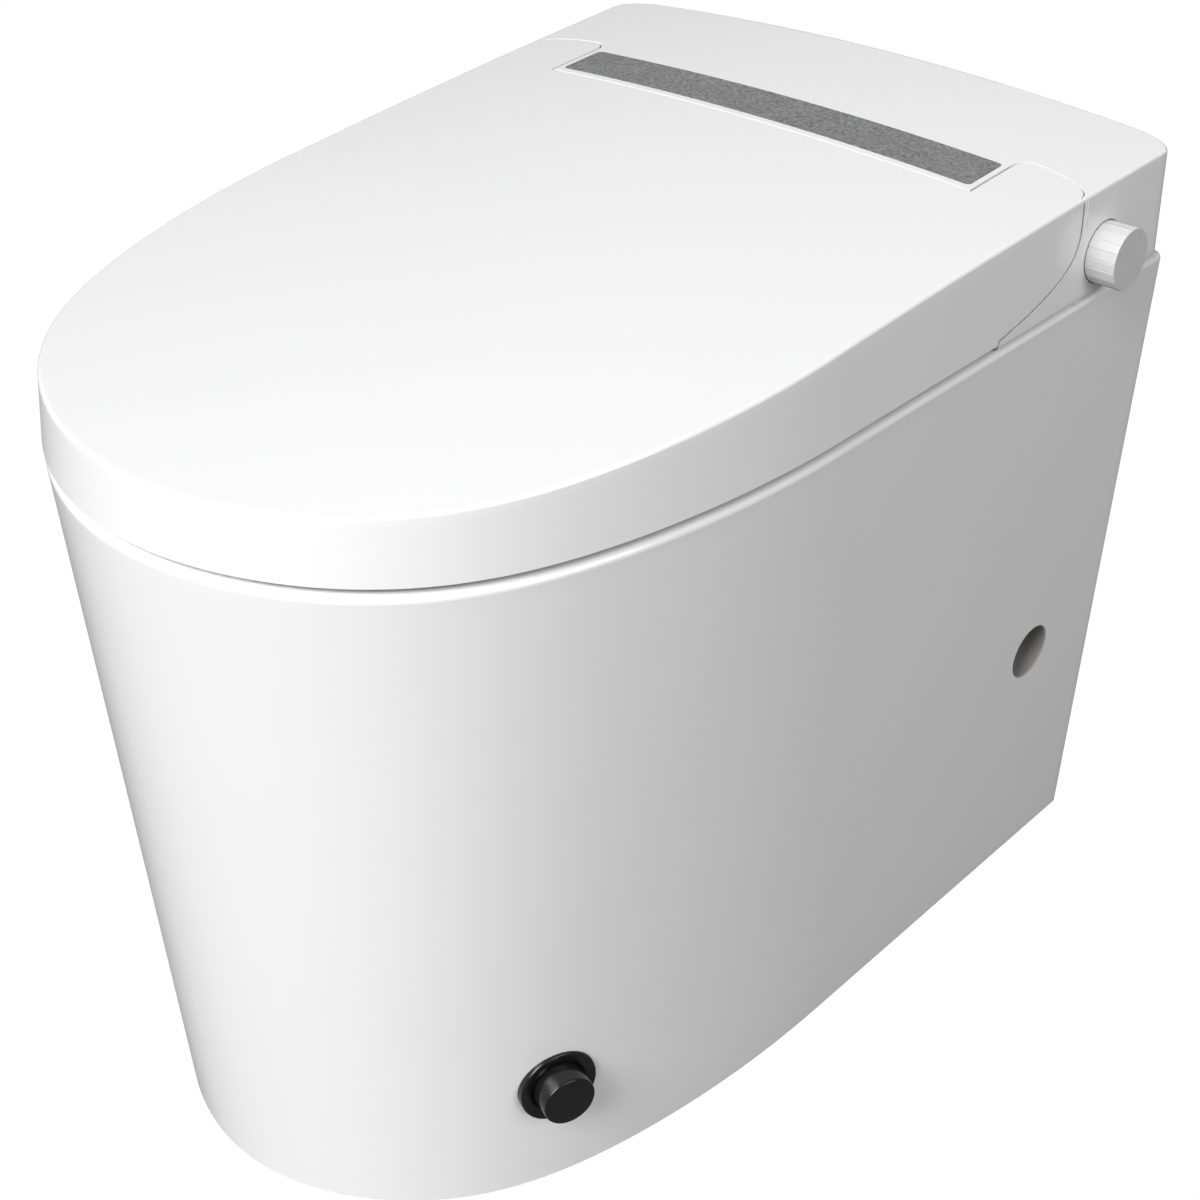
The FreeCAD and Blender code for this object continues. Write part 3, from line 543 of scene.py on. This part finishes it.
notch_row = len(lid_turns) + int(np.argmin(abs(lid_runs - notch_front)))
ears = len(ear_steps) - 1
patches = [(mirrored(np.concatenate([lid_wall, lid_edge])), None, False, 0)]
patches.append((lid_top[:notch_row + 1], None, False, 0))
patches.append((lid_top[notch_row:, :ears + 1], None, False, 0))
patches.append((lid_top[notch_row:, -ears - 1:], None, False, 0))


def ear_line(x, inner, side, start, corner):
    """How far back an ear reaches: a start line bowed back by a quarter oval that falls to nothing at the side.

    At the inner end it is rounded off by a circle of the corner's radius."""
    share = np.clip((x - ear_flat) / (side - ear_flat), 0, 1)
    near = np.clip(1 - (x - inner) / corner, 0, 1)
    return start + ear_bow * np.sqrt(1 - share ** 2) - corner * (1 - np.sqrt(1 - near ** 2))


# Rounded ends of the ears, over the pockets in the cover
ear_from = lid_top[-1, -ears - 1:]
ear_x = ear_from[:, 0]
ear_y = ear_line(ear_x, notch_half, ear_x[-1], ear_rear, ear_corner)
ear_y = ear_rear + (ear_y - ear_rear) * np.linspace(0, 1, 9)[:, None]
ear_end = np.stack([np.broadcast_to(ear_x, ear_y.shape), ear_y, crown_z(ear_x, ear_y)], -1)
patches += [(ear_end, None, False, 0), (ear_end * [-1, 1, 1], None, True, 0)]
lid = skin("lid", patches, [hood_white])


def thicken(piece, wall, bevel):
    """A wall grown inwards from the skin, with its edges eased."""
    solid = piece.modifiers.new("wall", "SOLIDIFY")
    solid.thickness, solid.offset, solid.use_even_offset = wall * 0.001, -1, True
    ease = piece.modifiers.new("eased_edges", "BEVEL")
    ease.width, ease.segments, ease.limit_method = bevel * 0.001, 2, "ANGLE"
    ease.angle_limit, ease.harden_normals = math.radians(50), True


thicken(lid, hood_wall, 0.5)
mount(lid, "lid", "hood_white", "lid_shell")

# Knuckles under the ears, round bars about the hinge line with their tops trimmed to the ears' underside
spin = np.linspace(0, 2 * np.pi, 33)
bar_x = np.array([notch_half, notch_half, knuckle_out, knuckle_out])[:, None]
bar_r = np.array([0.0, knuckle_r, knuckle_r, 0.0])[:, None]
bar_y = hinge_y + bar_r * np.sin(spin)
bar_z = np.minimum(hinge_z + bar_r * np.cos(spin), crown_z(bar_x, bar_y) - 1.0)
bars = np.stack([np.broadcast_to(bar_x, bar_y.shape), bar_y, bar_z], -1)
knuckles = skin("knuckles", [(bars, None, True, 0), (bars * [-1, 1, 1], None, False, 0)], [hood_white])
mount(knuckles, "lid", "hood_white", "lid_shell")


# Rear cover
# Moulded in the same white plastic as the lid, screwed down over the works. Its tongue reaches forward
# between the lid's ears and holds the display, and thin arms carry the side line forward under the lid.

cover_low, cover_thick, tongue_half, tongue_front, cover_front = 411.5, 2.8, 150.5, 158.5, 192.0
strip_half, strip_front, strip_rear, strip_corner = 147.0, 162.6, 196.0, 3.0
fine_steps = np.array([0, 0.12, 0.45, 0.9, 1.6, 2.4, 3.2])
knob_y, knob_z, recess_r, recess_x, stem_hole = 214.5, 435.5, 17.95, 197.0, 5.4
pocket_r, pocket_end, flank_end = 26.8, cover_front + ear_bow, 235.0
flank_rows = np.concatenate([np.linspace(pocket_end, flank_end, 15),
                             np.linspace(flank_end, rear_y - rear_bow - corner_long, 10)[1:]])
side_runs = flank_rows - ear_bow * np.clip((flank_end - flank_rows) / (flank_end - pocket_end), 0, 1)
cover_turns = np.linspace(0, math.pi / 2, 14)[1:]
wide_at = side_x(crown_z(200.0, cover_front), cover_front) - edge_run
flank_x = tongue_half + (wide_at - tongue_half) * (1 + np.cos(np.linspace(0, math.pi, 18))) / 2
pocket_corner = ear_corner + notch_half - tongue_half
strip_x = np.concatenate([strip_half - fine_steps, np.linspace(138.0, 0, 22)])
half_shares = np.concatenate([flank_x, strip_x]) / wide_at
rear_shares = np.linspace(1, 0, len(half_shares))[1:]


def cover_plan(z, inset):
    """Right half of the cover's outline at the height of each column.

    It is the side, a quarter-oval corner and the bowed back up to the middle."""
    nose, half, edge, far = hood_sizes(z, inset)
    a, b = len(side_runs), len(side_runs) + len(cover_turns)
    wide, long = corner_wide - inset, corner_long - inset
    x = [side_x(z[:a], side_runs) - inset, far[a:b] - wide + wide * np.cos(cover_turns),
         (far[b:] - wide) * rear_shares]
    y = [side_runs, edge - long + long * np.sin(cover_turns), edge + rear_bow * (1 - rear_shares ** 2)]
    return np.concatenate(x), np.concatenate(y)


def joined(rows):
    """Rows of the right half, ending at the middle of the back, joined to their mirror image."""
    return np.concatenate([rows, rows[:, -2::-1] * [-1, 1, 1]], 1)


n_run, n_turn = len(side_runs), len(cover_turns)
cover_count = n_run + n_turn + len(rear_shares)
cover_edge = rounded_edge(cover_plan, cover_count)
low_z, low_inset = np.array([411.5, 411.8, 412.5, 413.6, 415.0]), np.array([2.4, 1.6, 0.7, 0.15, 0.0])
wall_shares = np.linspace(0, 1, 17)[1:]
low_rows = []
for z, inset in zip(low_z, low_inset):
    x, y = cover_plan(np.full(cover_count, z), inset)
    low_rows.append(np.stack([x, y, np.full(cover_count, z)], -1))
cover_wall = wall_rows(cover_plan, np.full(cover_count, low_z[-1]), cover_edge[0, :, 2], wall_shares[:-1])
cover_band = joined(np.concatenate([np.stack(low_rows), cover_wall, cover_edge]))


def cover_row(x_out):
    """Places across the top for a row of this half width: flank, frame and strip, from left to right."""
    right = x_out[:, None] * half_shares
    return np.hstack([-right, right[:, -2::-1]])


row_x = cover_edge[-1, :n_run + n_turn, 0]
row_y = np.concatenate([flank_rows, cover_edge[-1, n_run:n_run + n_turn, 1]])
top_x = cover_row(np.concatenate([[wide_at], row_x[1:]]))
top_x[0, 0], top_x[0, -1] = -row_x[0], row_x[0]
fade = np.clip((flank_end - row_y) / (flank_end - pocket_end), 0, 1)[:, None]
flank_y = ear_line(abs(top_x), tongue_half, abs(top_x[:, :1]), cover_front, pocket_corner)
on_flank = abs(np.arange(top_x.shape[1]) - len(half_shares) + 1) >= len(strip_x)
top_y = row_y[:, None] + fade * np.where(on_flank, flank_y - pocket_end, 0)
cover_top = np.stack([top_x, top_y, crown_z(top_x, top_y)], -1)
rear_row = joined(cover_edge[-1:, n_run + n_turn - 1:])[:, ::-1]
cover_top = np.concatenate([cover_top, rear_row])
last, frame_at = cover_top.shape[1] - 1, len(flank_x) - 1


def rounded_ends(x, y, corner):
    """Places in the strip's rectangle, with each corner square drawn in to a quarter disc.

    A place in a corner is scaled by its larger offset over its hypotenuse."""
    mid, half = (strip_front + strip_rear) / 2, (strip_rear - strip_front) / 2
    over_x, over_y = abs(x) - strip_half + corner, abs(y - mid) - half + corner
    far = np.hypot(over_x, over_y)
    near = (over_x > 0) & (over_y > 0) & (over_x <= corner + 1e-6) & (over_y <= corner + 1e-6)
    pull = np.where(near, np.maximum(over_x, over_y) / np.maximum(far, 1e-6) - 1, 0)
    return x + np.sign(x) * over_x * pull, y + np.sign(y - mid) * over_y * pull


strip_y = np.concatenate([strip_front + fine_steps, np.linspace(170.0, 188.0, 4), strip_rear - fine_steps[::-1]])
tongue_y = np.concatenate([[tongue_front], strip_y, [200.0, 204.5, pocket_end]])
tongue_x = cover_top[0, frame_at:last - frame_at + 1, 0]
tongue_x, tongue_y = rounded_ends(*np.meshgrid(tongue_x, tongue_y), strip_corner)
tongue_y[:, [0, -1]] = np.minimum(tongue_y[:, [0, -1]], cover_top[0, frame_at, 1])
tongue = np.stack([tongue_x, tongue_y, crown_z(tongue_x, tongue_y)], -1)
strip_hole = (1, len(strip_y), 1, tongue.shape[1] - 2)
patches = [(cover_top, None, False, 0), (tongue, cells_left(tongue, [strip_hole]), False, 0)]


def dropped(line):
    """Upright wall from a line of points down to the cover's lower edge."""
    foot = line * [1, 1, 0] + [0, 0, cover_low]
    return blend_rows(foot[None], line[None], np.linspace(0, 1, 7))


patches.append((dropped(tongue[0]), None, False, 0))
patches += [(dropped(tongue[:, -1]), None, False, 0), (dropped(tongue[:, 0]), None, True, 0)]

# Pockets that the ears' ends swing down into: an upright front, a round floor about the hinge, an upright back
ear_edge = np.concatenate([cover_top[0, last - frame_at:], cover_edge[::-1, 0][1:]])
reach = cover_front + (ear_edge[:, 1] - cover_front) * np.linspace(0, 1, 8)[:, None]
floor_z = hinge_z - np.sqrt(pocket_r ** 2 - (reach - hinge_y) ** 2)
pocket_y = np.concatenate([np.full((3, len(ear_edge)), cover_front), reach, np.tile(ear_edge[:, 1], (2, 1))])
front_z = cover_low + (floor_z[0] - cover_low) * np.array([0, 0.35, 0.7])[:, None]
back_z = floor_z[-1] + (ear_edge[:, 2] - floor_z[-1]) * np.array([0.5, 1.0])[:, None]
pocket_z = np.concatenate([front_z, floor_z, back_z])
pocket = np.stack([np.broadcast_to(ear_edge[:, 0], pocket_z.shape), pocket_y, pocket_z], -1)
patches += [(pocket, None, False, 0), (pocket * [-1, 1, 1], None, True, 0)]

# Arms under the lid's side, up to the split line
arm_steps = [0, 0.3, 1, 2.4, 5, 9, 14, 20, 27, 34, 41, 47, 52.5, 57, 60.5, 63, 65, 66.6, 67.8, 68.8, 69.6, 70.3,
             70.9, 71.4, 71.8, 72.1, 72.4]
arm_y = split_front + split_gap + np.array(arm_steps)
arm_top = split_z(arm_y, split_gap)
arm_top[-1] = cover_edge[0, 0, 2]
arm_z = np.concatenate([low_z[:, None] + 0 * arm_y, low_z[-1] + (arm_top - low_z[-1]) * wall_shares[:, None]])
arm_inset = np.concatenate([low_inset, 0 * wall_shares])[:, None]
arm_x = side_x(arm_z, arm_y) - arm_inset
arm = np.stack([arm_x, np.broadcast_to(arm_y, arm_x.shape), arm_z], -1)
patches += [(arm, None, False, 0), (arm * [-1, 1, 1], None, True, 0)]

# Recess for the knob, and round holes in the back for the water inlet and the mains gland
block = (4, 17, 1, 15)
cup = hole_rings(cover_band, block, np.array([201.0, knob_y, knob_z]), along, upright, recess_r, (0, 0.5, 1))
floor_ring = cup[-1] * [0, 1, 1] + [recess_x, 0, 0]
centre = np.array([recess_x, knob_y, knob_z])
stem_ring = centre + (floor_ring - centre) * stem_hole / recess_r
patches.append((np.concatenate([cup, floor_ring[None], stem_ring[None]]), None, False, 0))
blocks = [block]
first_rear = n_run + n_turn
for place_x, place_z, r in ((125.0, 442.0, 8.1), (-108.0, 442.0, 10.5)):
    at = np.array([place_x, rear_y, place_z])
    beside = first_rear + np.flatnonzero(abs(cover_band[8, first_rear:-first_rear, 0] - place_x) < r + 3)
    level = np.flatnonzero(abs(cover_band[:, beside[0], 2] - place_z) < r + 3)
    block = (level[0] - 1, level[-1] + 1, beside[0] - 1, beside[-1] + 1)
    patches.append((hole_rings(cover_band, block, at, -rightward, upright, r, (0, 0.5, 1)), None, False, 0))
    blocks.append(block)
patches.append((cover_band, cells_left(cover_band, blocks), False, 0))
cover = skin("cover", patches, [hood_white])
thicken(cover, cover_thick, 0.5)
mount(cover, "base", "hood_white", "rear_cover")


# Display strip
# Dark-tinted acrylic moulding, matt on its face, bonded into the tongue flush with the hood's top.
# The readout behind it is off, so it is one plain grey band.

strip_clear, strip_deep = 0.25, 1.6


def smoked(place):
    """Matt grey acrylic: fine mottled grain in tone and gloss."""
    grain = 2.2 * place.noise(500, 2, 0.6) - 0.6
    cloud = place.noise(30, 2)
    return {
        "Base Color": (0.85 * grain + 0.15 * cloud).tint((0.1, 0.101, 0.102), (0.32, 0.321, 0.322)),
        "Roughness": 0.5 + 0.12 * grain,
        "Normal": grain.bump(0.00002, 0.4),
    }


strip_grey = finish_of("strip_grey", smoked, **{"IOR": 1.49})
sheet_x = np.concatenate([strip_x, -strip_x[-2::-1]])
sheet_x, sheet_y = rounded_ends(*np.meshgrid(-sheet_x, strip_y), strip_corner)
strip_mid = (strip_front + strip_rear) / 2
sheet_x = sheet_x * (1 - strip_clear / strip_half)
sheet_y = strip_mid + (sheet_y - strip_mid) * (1 - 2 * strip_clear / (strip_rear - strip_front))
strip_sheet = np.stack([sheet_x, sheet_y, crown_z(sheet_x, sheet_y)], -1)
strip = skin("display_strip", [(strip_sheet, None, False, 0)], [strip_grey])
thicken(strip, strip_deep, 0.3)
mount(strip, "base", "strip_grey", "display_window")


# Seat
# Two white plastic mouldings welded round a heating film: a dished top with rolled edges and a flat base.
# Its two rear arms turn on pins in the tongue, and soft pads rest it on the rim.

seat_join, seat_high, seat_inset, seat_rear, seat_corner = 421.0, 436.0, 11.0, 150.0, 12.0
seat_hole_half, seat_hole_long, seat_roll, seat_dish = 105.0, 140.0, 6.0, 2.5


def seat_plastic(place):
    """Warm white plastic with a faint cloud and a fine satin grain."""
    cloud = place.noise(8, 2)
    grain = place.noise(700, 2)
    return {
        "Base Color": cloud.tint((0.7, 0.7, 0.69), (0.74, 0.74, 0.73)),
        "Roughness": 0.28 + 0.08 * grain,
        "Normal": grain.bump(0.00002, 0.3),
    }


seat_white = finish_of("seat_white", seat_plastic, **{"IOR": 1.49})


def seat_rings(inset, z):
    """Outer outlines of the seat at insets and heights."""
    inset, z = np.asarray(inset, float), np.asarray(z, float)
    rear = seat_rear - inset + seat_inset
    x, y = plan_rings(rim_front + inset, rim_half - inset, rim_start, flare, seat_corner, seat_corner, rear, 0.0)
    return np.stack([x, y, np.broadcast_to(z[:, None], x.shape)], -1)


seat_turn = np.linspace(0, math.pi / 2, 6)
outer_inset = np.concatenate([[seat_inset], seat_inset + seat_roll * (1 - np.cos(seat_turn))])
outer_z = np.concatenate([[seat_join], seat_high - seat_roll * (1 - np.sin(seat_turn))])
outer = seat_rings(outer_inset, outer_z)
seat_angle = np.arctan2((outer[-1, :, 1] - bowl_centre) / seat_hole_long, outer[-1, :, 0] / seat_hole_half)
inner_grow = np.concatenate([seat_roll * (1 - np.sin(seat_turn)), [0]])
inner_z = np.concatenate([seat_high - seat_dish - seat_roll * (1 - np.cos(seat_turn)), [seat_join]])
inner = np.stack([(seat_hole_half + inner_grow[:, None]) * np.cos(seat_angle),
                  bowl_centre + (seat_hole_long + inner_grow[:, None]) * np.sin(seat_angle),
                  np.broadcast_to(inner_z[:, None], (len(inner_z), len(seat_angle)))], -1)
top_shares = np.linspace(0, 1, 10)[1:-1]
seat_top = blend_rows(outer[-1:], inner[:1], top_shares)
seat_top[..., 2] = (seat_high - seat_dish * np.sin(top_shares * math.pi / 2) ** 1.5)[:, None]
seat_loop = np.concatenate([outer, seat_top, inner, blend_rows(inner[-1:], outer[:1], [0.25, 0.5, 0.75, 1.0])])

# Arms up to the hinge pins, a rounded side profile carried across their width
arm_in, arm_out, arm_front, arm_foot, arm_high = 152.0, 162.0, 130.0, 154.0, 434.0
seat_axis_y, seat_axis_z, seat_knuckle = 168.0, 450.0, 9.0
turn = np.linspace(-math.radians(20), math.radians(115), 12)
round_y, round_z = seat_axis_y + seat_knuckle * np.cos(turn), seat_axis_z + seat_knuckle * np.sin(turn)
arm_line_y = np.concatenate([[arm_front, arm_foot], round_y, [arm_front, arm_front]])
arm_line_z = np.concatenate([[seat_join, seat_join], round_z, [arm_high, seat_join]])
arm_edge = np.stack([0 * arm_line_y, arm_line_y, arm_line_z], -1)
arm_mid = arm_edge[:-1].mean(0)
seat_arm = np.stack([arm_mid + 0 * arm_edge + [arm_in, 0, 0], arm_edge + [arm_in, 0, 0],
                     arm_edge + [arm_out, 0, 0], arm_mid + 0 * arm_edge + [arm_out, 0, 0]])
patches = [(seat_loop, None, False, 0), (seat_arm, None, True, 0), (seat_arm * [-1, 1, 1], None, False, 0)]
seat = skin("seat", patches, [seat_white])
mount(seat, "seat", "seat_white", "seat_top")


# Side knob
# Moulded off-white plastic with twenty flats, a fine groove between them and a plain face, pressed on the
# stem of the encoder. It turns freely and clicks in against a spring.

knob_r, knob_flats, knob_face, knob_back = 17.5, 20, 219.0, 201.0


def knob_plastic(place):
    """Satin white plastic with fine turning marks."""
    grain = place.noise(600, 3)
    return {
        "Base Color": grain.tint((0.61, 0.61, 0.61), (0.67, 0.67, 0.67)),
        "Roughness": 0.42 + 0.1 * grain,
        "Normal": grain.bump(0.00002, 0.3),
    }


knob_white = finish_of("knob_white", knob_plastic, **{"IOR": 1.4})
flat_turn = np.radians([-9.0, -8.2, -7.0, -2.3, 2.3, 7.0, 8.2])
groove = 1 - 0.026 * np.exp(-((9.0 - abs(np.degrees(flat_turn))) / 0.8) ** 2)
flat_reach = math.cos(math.pi / knob_flats) / np.cos(flat_turn) * groove
knob_turn = (2 * np.pi * np.arange(knob_flats)[:, None] / knob_flats + flat_turn).ravel()
knob_turn = np.append(knob_turn, knob_turn[0])
knob_reach = np.append(np.tile(flat_reach, knob_flats), flat_reach[0])
knob_profile = np.array([[knob_back + 6, 0.0], [knob_back + 6, 5.2], [knob_back, 5.2], [knob_back, knob_r - 0.4],
                         [knob_back + 0.4, knob_r], [knob_face - 0.5, knob_r], [knob_face - 0.15, knob_r - 0.15],
                         [knob_face, knob_r - 0.5], [knob_face, 8.0], [knob_face, 0.0]])
knob_rows = np.stack([
    np.broadcast_to(knob_profile[:, :1], (len(knob_profile), len(knob_turn))),
    knob_y + knob_profile[:, 1:] * knob_reach * np.cos(knob_turn),
    knob_z + knob_profile[:, 1:] * knob_reach * np.sin(knob_turn)], -1)
knob = skin("knob", [(knob_rows, None, False, 0)], [knob_white], 12)
mount(knob, "knob", "knob_white", "control_knob")


# Foot button
# Gloss black plastic: a dished ring pressed into the skirt's pocket, and a round cap that slides in it
# on a spring and works the flush switch behind.

def gloss_black(place):
    """Gloss black plastic with faint dust and handling marks in its gloss."""
    smear = place.noise(90, 4)
    dust = place.noise(1500, 1)
    return {
        "Base Color": smear.tint((0.006, 0.006, 0.0065), (0.012, 0.012, 0.0125)),
        "Roughness": 0.14 + 0.1 * smear + 0.03 * dust,
        "Normal": smear.bump(0.00003, 0.2),
    }


button_black = finish_of("button_black", gloss_black, **{"IOR": 1.5})


def turned(profile, count=73):
    """Profile of distances out of the skirt and radii, carried round the foot button's axis."""
    profile = np.asarray(profile, float)
    spin = np.linspace(0, 2 * np.pi, count)
    arm = np.cos(spin)[:, None] * foot_side + np.sin(spin)[:, None] * upright
    return foot_at + profile[:, None, :1] * foot_axis + profile[:, None, 1:] * arm


bezel_line = [(-30, 15.1), (-30, 17), (-2.1, 17), (-2.1, 22.4), (1.9, 22.5), (2.7, 22.35), (3.1, 21.9),
              (3.2, 21.3), (3.1, 19.6), (2.8, 17.8), (2.4, 16.4), (1.9, 15.6), (0.8, 15.1), (-30, 15.1)]
bezel = skin("foot_ring", [(turned(bezel_line), None, False, 0)], [button_black], 60)
mount(bezel, "base", "button_black", "foot_bezel")
cap_line = [(-20, 0), (-20, 15), (14.9, 15), (15.5, 14.85), (15.85, 14.5), (16.0, 14.0), (16.0, 9.0), (16.0, 0)]
cap = skin("foot_cap", [(turned(cap_line), None, False, 0)], [button_black], 60)
mount(cap, "foot_cap", "button_black", "foot_button")


# Works and fittings
# The parts behind the cover and under the pan keep their CAD form and get their own finishes: grey and
# black mouldings, a green board, steel pins and screws, a brass inlet and soft black or clear rubber.


def works_finish(name, low, high, gloss, grain, depth, **fixed):
    """A finish whose tone, gloss and skin follow one noise of a given grain."""

    def recipe(place):
        spread = place.noise(grain, 3)
        return {
            "Base Color": spread.tint(low, high),
            "Roughness": gloss + 0.15 * spread,
            "Normal": spread.bump(depth, 0.4),
        }

    return finish_of(name, recipe, **fixed)


works = {
    "works_grey": ((0.42, 0.43, 0.44), (0.5, 0.5, 0.51), 0.45, 500, 0.00004, {}),
    "works_black": ((0.02, 0.02, 0.021), (0.045, 0.045, 0.046), 0.4, 500, 0.00004, {}),
    "board_green": ((0.012, 0.09, 0.035), (0.02, 0.13, 0.05), 0.3, 260, 0.00003, {}),
    "film_amber": ((0.48, 0.2, 0.03), (0.56, 0.26, 0.05), 0.25, 120, 0.00002, {}),
    "pin_steel": ((0.5, 0.5, 0.5), (0.62, 0.62, 0.61), 0.25, 800, 0.00001, {"Metallic": 1.0}),
    "inlet_brass": ((0.62, 0.46, 0.2), (0.72, 0.55, 0.27), 0.25, 500, 0.00002, {"Metallic": 1.0}),
    "seal_rubber": ((0.03, 0.03, 0.03), (0.06, 0.06, 0.06), 0.7, 700, 0.00005, {}),
    "buffer_rubber": ((0.5, 0.51, 0.52), (0.6, 0.6, 0.61), 0.55, 700, 0.00003, {}),
}
made = {"glazed_white": glazed_white, "seat_white": seat_white, "knob_white": knob_white}
for name, recipe in works.items():
    made[name] = works_finish(name, *recipe[:5], **recipe[5])
kept = {
    "trap_pipe": "glazed_white", "floor_seal": "seal_rubber", "display_board": "board_green",
    "hinge_blocks": "works_grey", "lid_pins": "pin_steel", "seat_pins": "pin_steel", "seat_base": "seat_white",
    "seat_heater": "film_amber", "seat_buffers": "buffer_rubber", "lid_buffers": "buffer_rubber",
    "deck_gasket": "seal_rubber", "chassis_plate": "works_grey", "chassis_screws": "pin_steel",
    "control_board": "board_green", "water_heater": "works_grey", "booster_pump": "works_black",
    "flush_valve": "works_grey", "inlet_fitting": "inlet_brass", "flush_pipe": "works_grey",
    "power_gland": "works_black", "rear_wand": "knob_white", "front_wand": "knob_white",
    "nozzle_housing": "works_grey", "knob_encoder": "works_black", "knob_stem": "works_grey",
    "foot_switch": "works_black",
}
for node, name in kept.items():
    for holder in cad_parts[node].material_slots:
        holder.material = made[name]


# Studio
# A plain white floor and surround, with wide soft lights: the key in front, a weaker one to its left
# and one on the right. The camera stands at the right front and looks down.

floor_half, floor_drop, bright_white, dim_white = 20.0, -0.0005, 1.02, 0.14
floor_mesh = bpy.data.meshes.new("floor")
floor_corners = [(-floor_half, -floor_half, floor_drop), (floor_half, -floor_half, floor_drop),
                 (floor_half, floor_half, floor_drop), (-floor_half, floor_half, floor_drop)]
floor_mesh.from_pydata(floor_corners, [], [(0, 1, 2, 3)])
floor = bpy.data.objects.new("floor", floor_mesh)
bpy.context.scene.collection.objects.link(floor)
floor_white = bpy.data.materials.new("floor_white")
floor_white.use_nodes = True
floor_white.node_tree.nodes.clear()
ground = Flow(floor_white.node_tree)
glow = ground.node("ShaderNodeEmission", (), {"Color": (1, 1, 1, 1), "Strength": bright_white})
dull = ground.node("ShaderNodeBsdfDiffuse", (), {"Color": (0.15, 0.15, 0.15, 1)})
seen = ground.node("ShaderNodeLightPath", out="Is Camera Ray")
surface = ground.node("ShaderNodeMixShader", (), {0: seen, 1: dull, 2: glow})
ground.node("ShaderNodeOutputMaterial", (), {"Surface": surface})
floor_mesh.materials.append(floor_white)

world = bpy.data.worlds.new("surround")
bpy.context.scene.world = world
world.use_nodes = True
world.node_tree.nodes.clear()
sky = Flow(world.node_tree)
seen = sky.node("ShaderNodeLightPath", out="Is Camera Ray")
dim = sky.node("ShaderNodeBackground", (), {"Color": (1, 1, 1, 1), "Strength": dim_white})
bright = sky.node("ShaderNodeBackground", (), {"Color": (1, 1, 1, 1), "Strength": bright_white})
surface = sky.node("ShaderNodeMixShader", (), {0: seen, 1: dim, 2: bright})
sky.node("ShaderNodeOutputWorld", (), {"Surface": surface})


def soft_light(name, place, aim, size, power):
    """Square soft light at a place, turned to an aim point."""
    lamp = bpy.data.lights.new(name, "AREA")
    lamp.size, lamp.energy = size, power
    held = bpy.data.objects.new(name, lamp)
    held.location = place
    to = np.array(aim, float) - np.array(place, float)
    flat = math.hypot(to[0], to[1])
    held.rotation_euler = (math.atan2(flat, -to[2]), 0, math.atan2(to[1], to[0]) - math.pi / 2)
    bpy.context.scene.collection.objects.link(held)


light_aim, light_size = (0, 0, 0.25), 8.0
soft_light("key", (1.04, -11.84, 10.95), light_aim, light_size, 2510)
soft_light("left", (-5.54, -11.88, 9.43), light_aim, light_size, 910)
soft_light("right", (14.5, 0.0, 7.01), light_aim, light_size, 950)

eye = np.array([0.7339, -0.7605, 0.9267])
forward = np.array([-0.56954916, 0.6119132, -0.54879503])
upward = np.array([-0.35252353, 0.4212962, 0.83560557])
camera_data = bpy.data.cameras.new("camera")
camera_data.lens, camera_data.sensor_width = 64.81, 36.0
camera_data.shift_x, camera_data.shift_y = -0.0041, -0.0013
camera = bpy.data.objects.new("camera", camera_data)
bpy.context.scene.collection.objects.link(camera)
turn_to = np.eye(4)
turn_to[:3] = np.stack([np.cross(forward, upward), upward, -forward, eye], 1)
camera.matrix_world = turn_to.T.tolist()
bpy.context.scene.camera = camera
bpy.context.scene.view_settings.view_transform = "Standard"
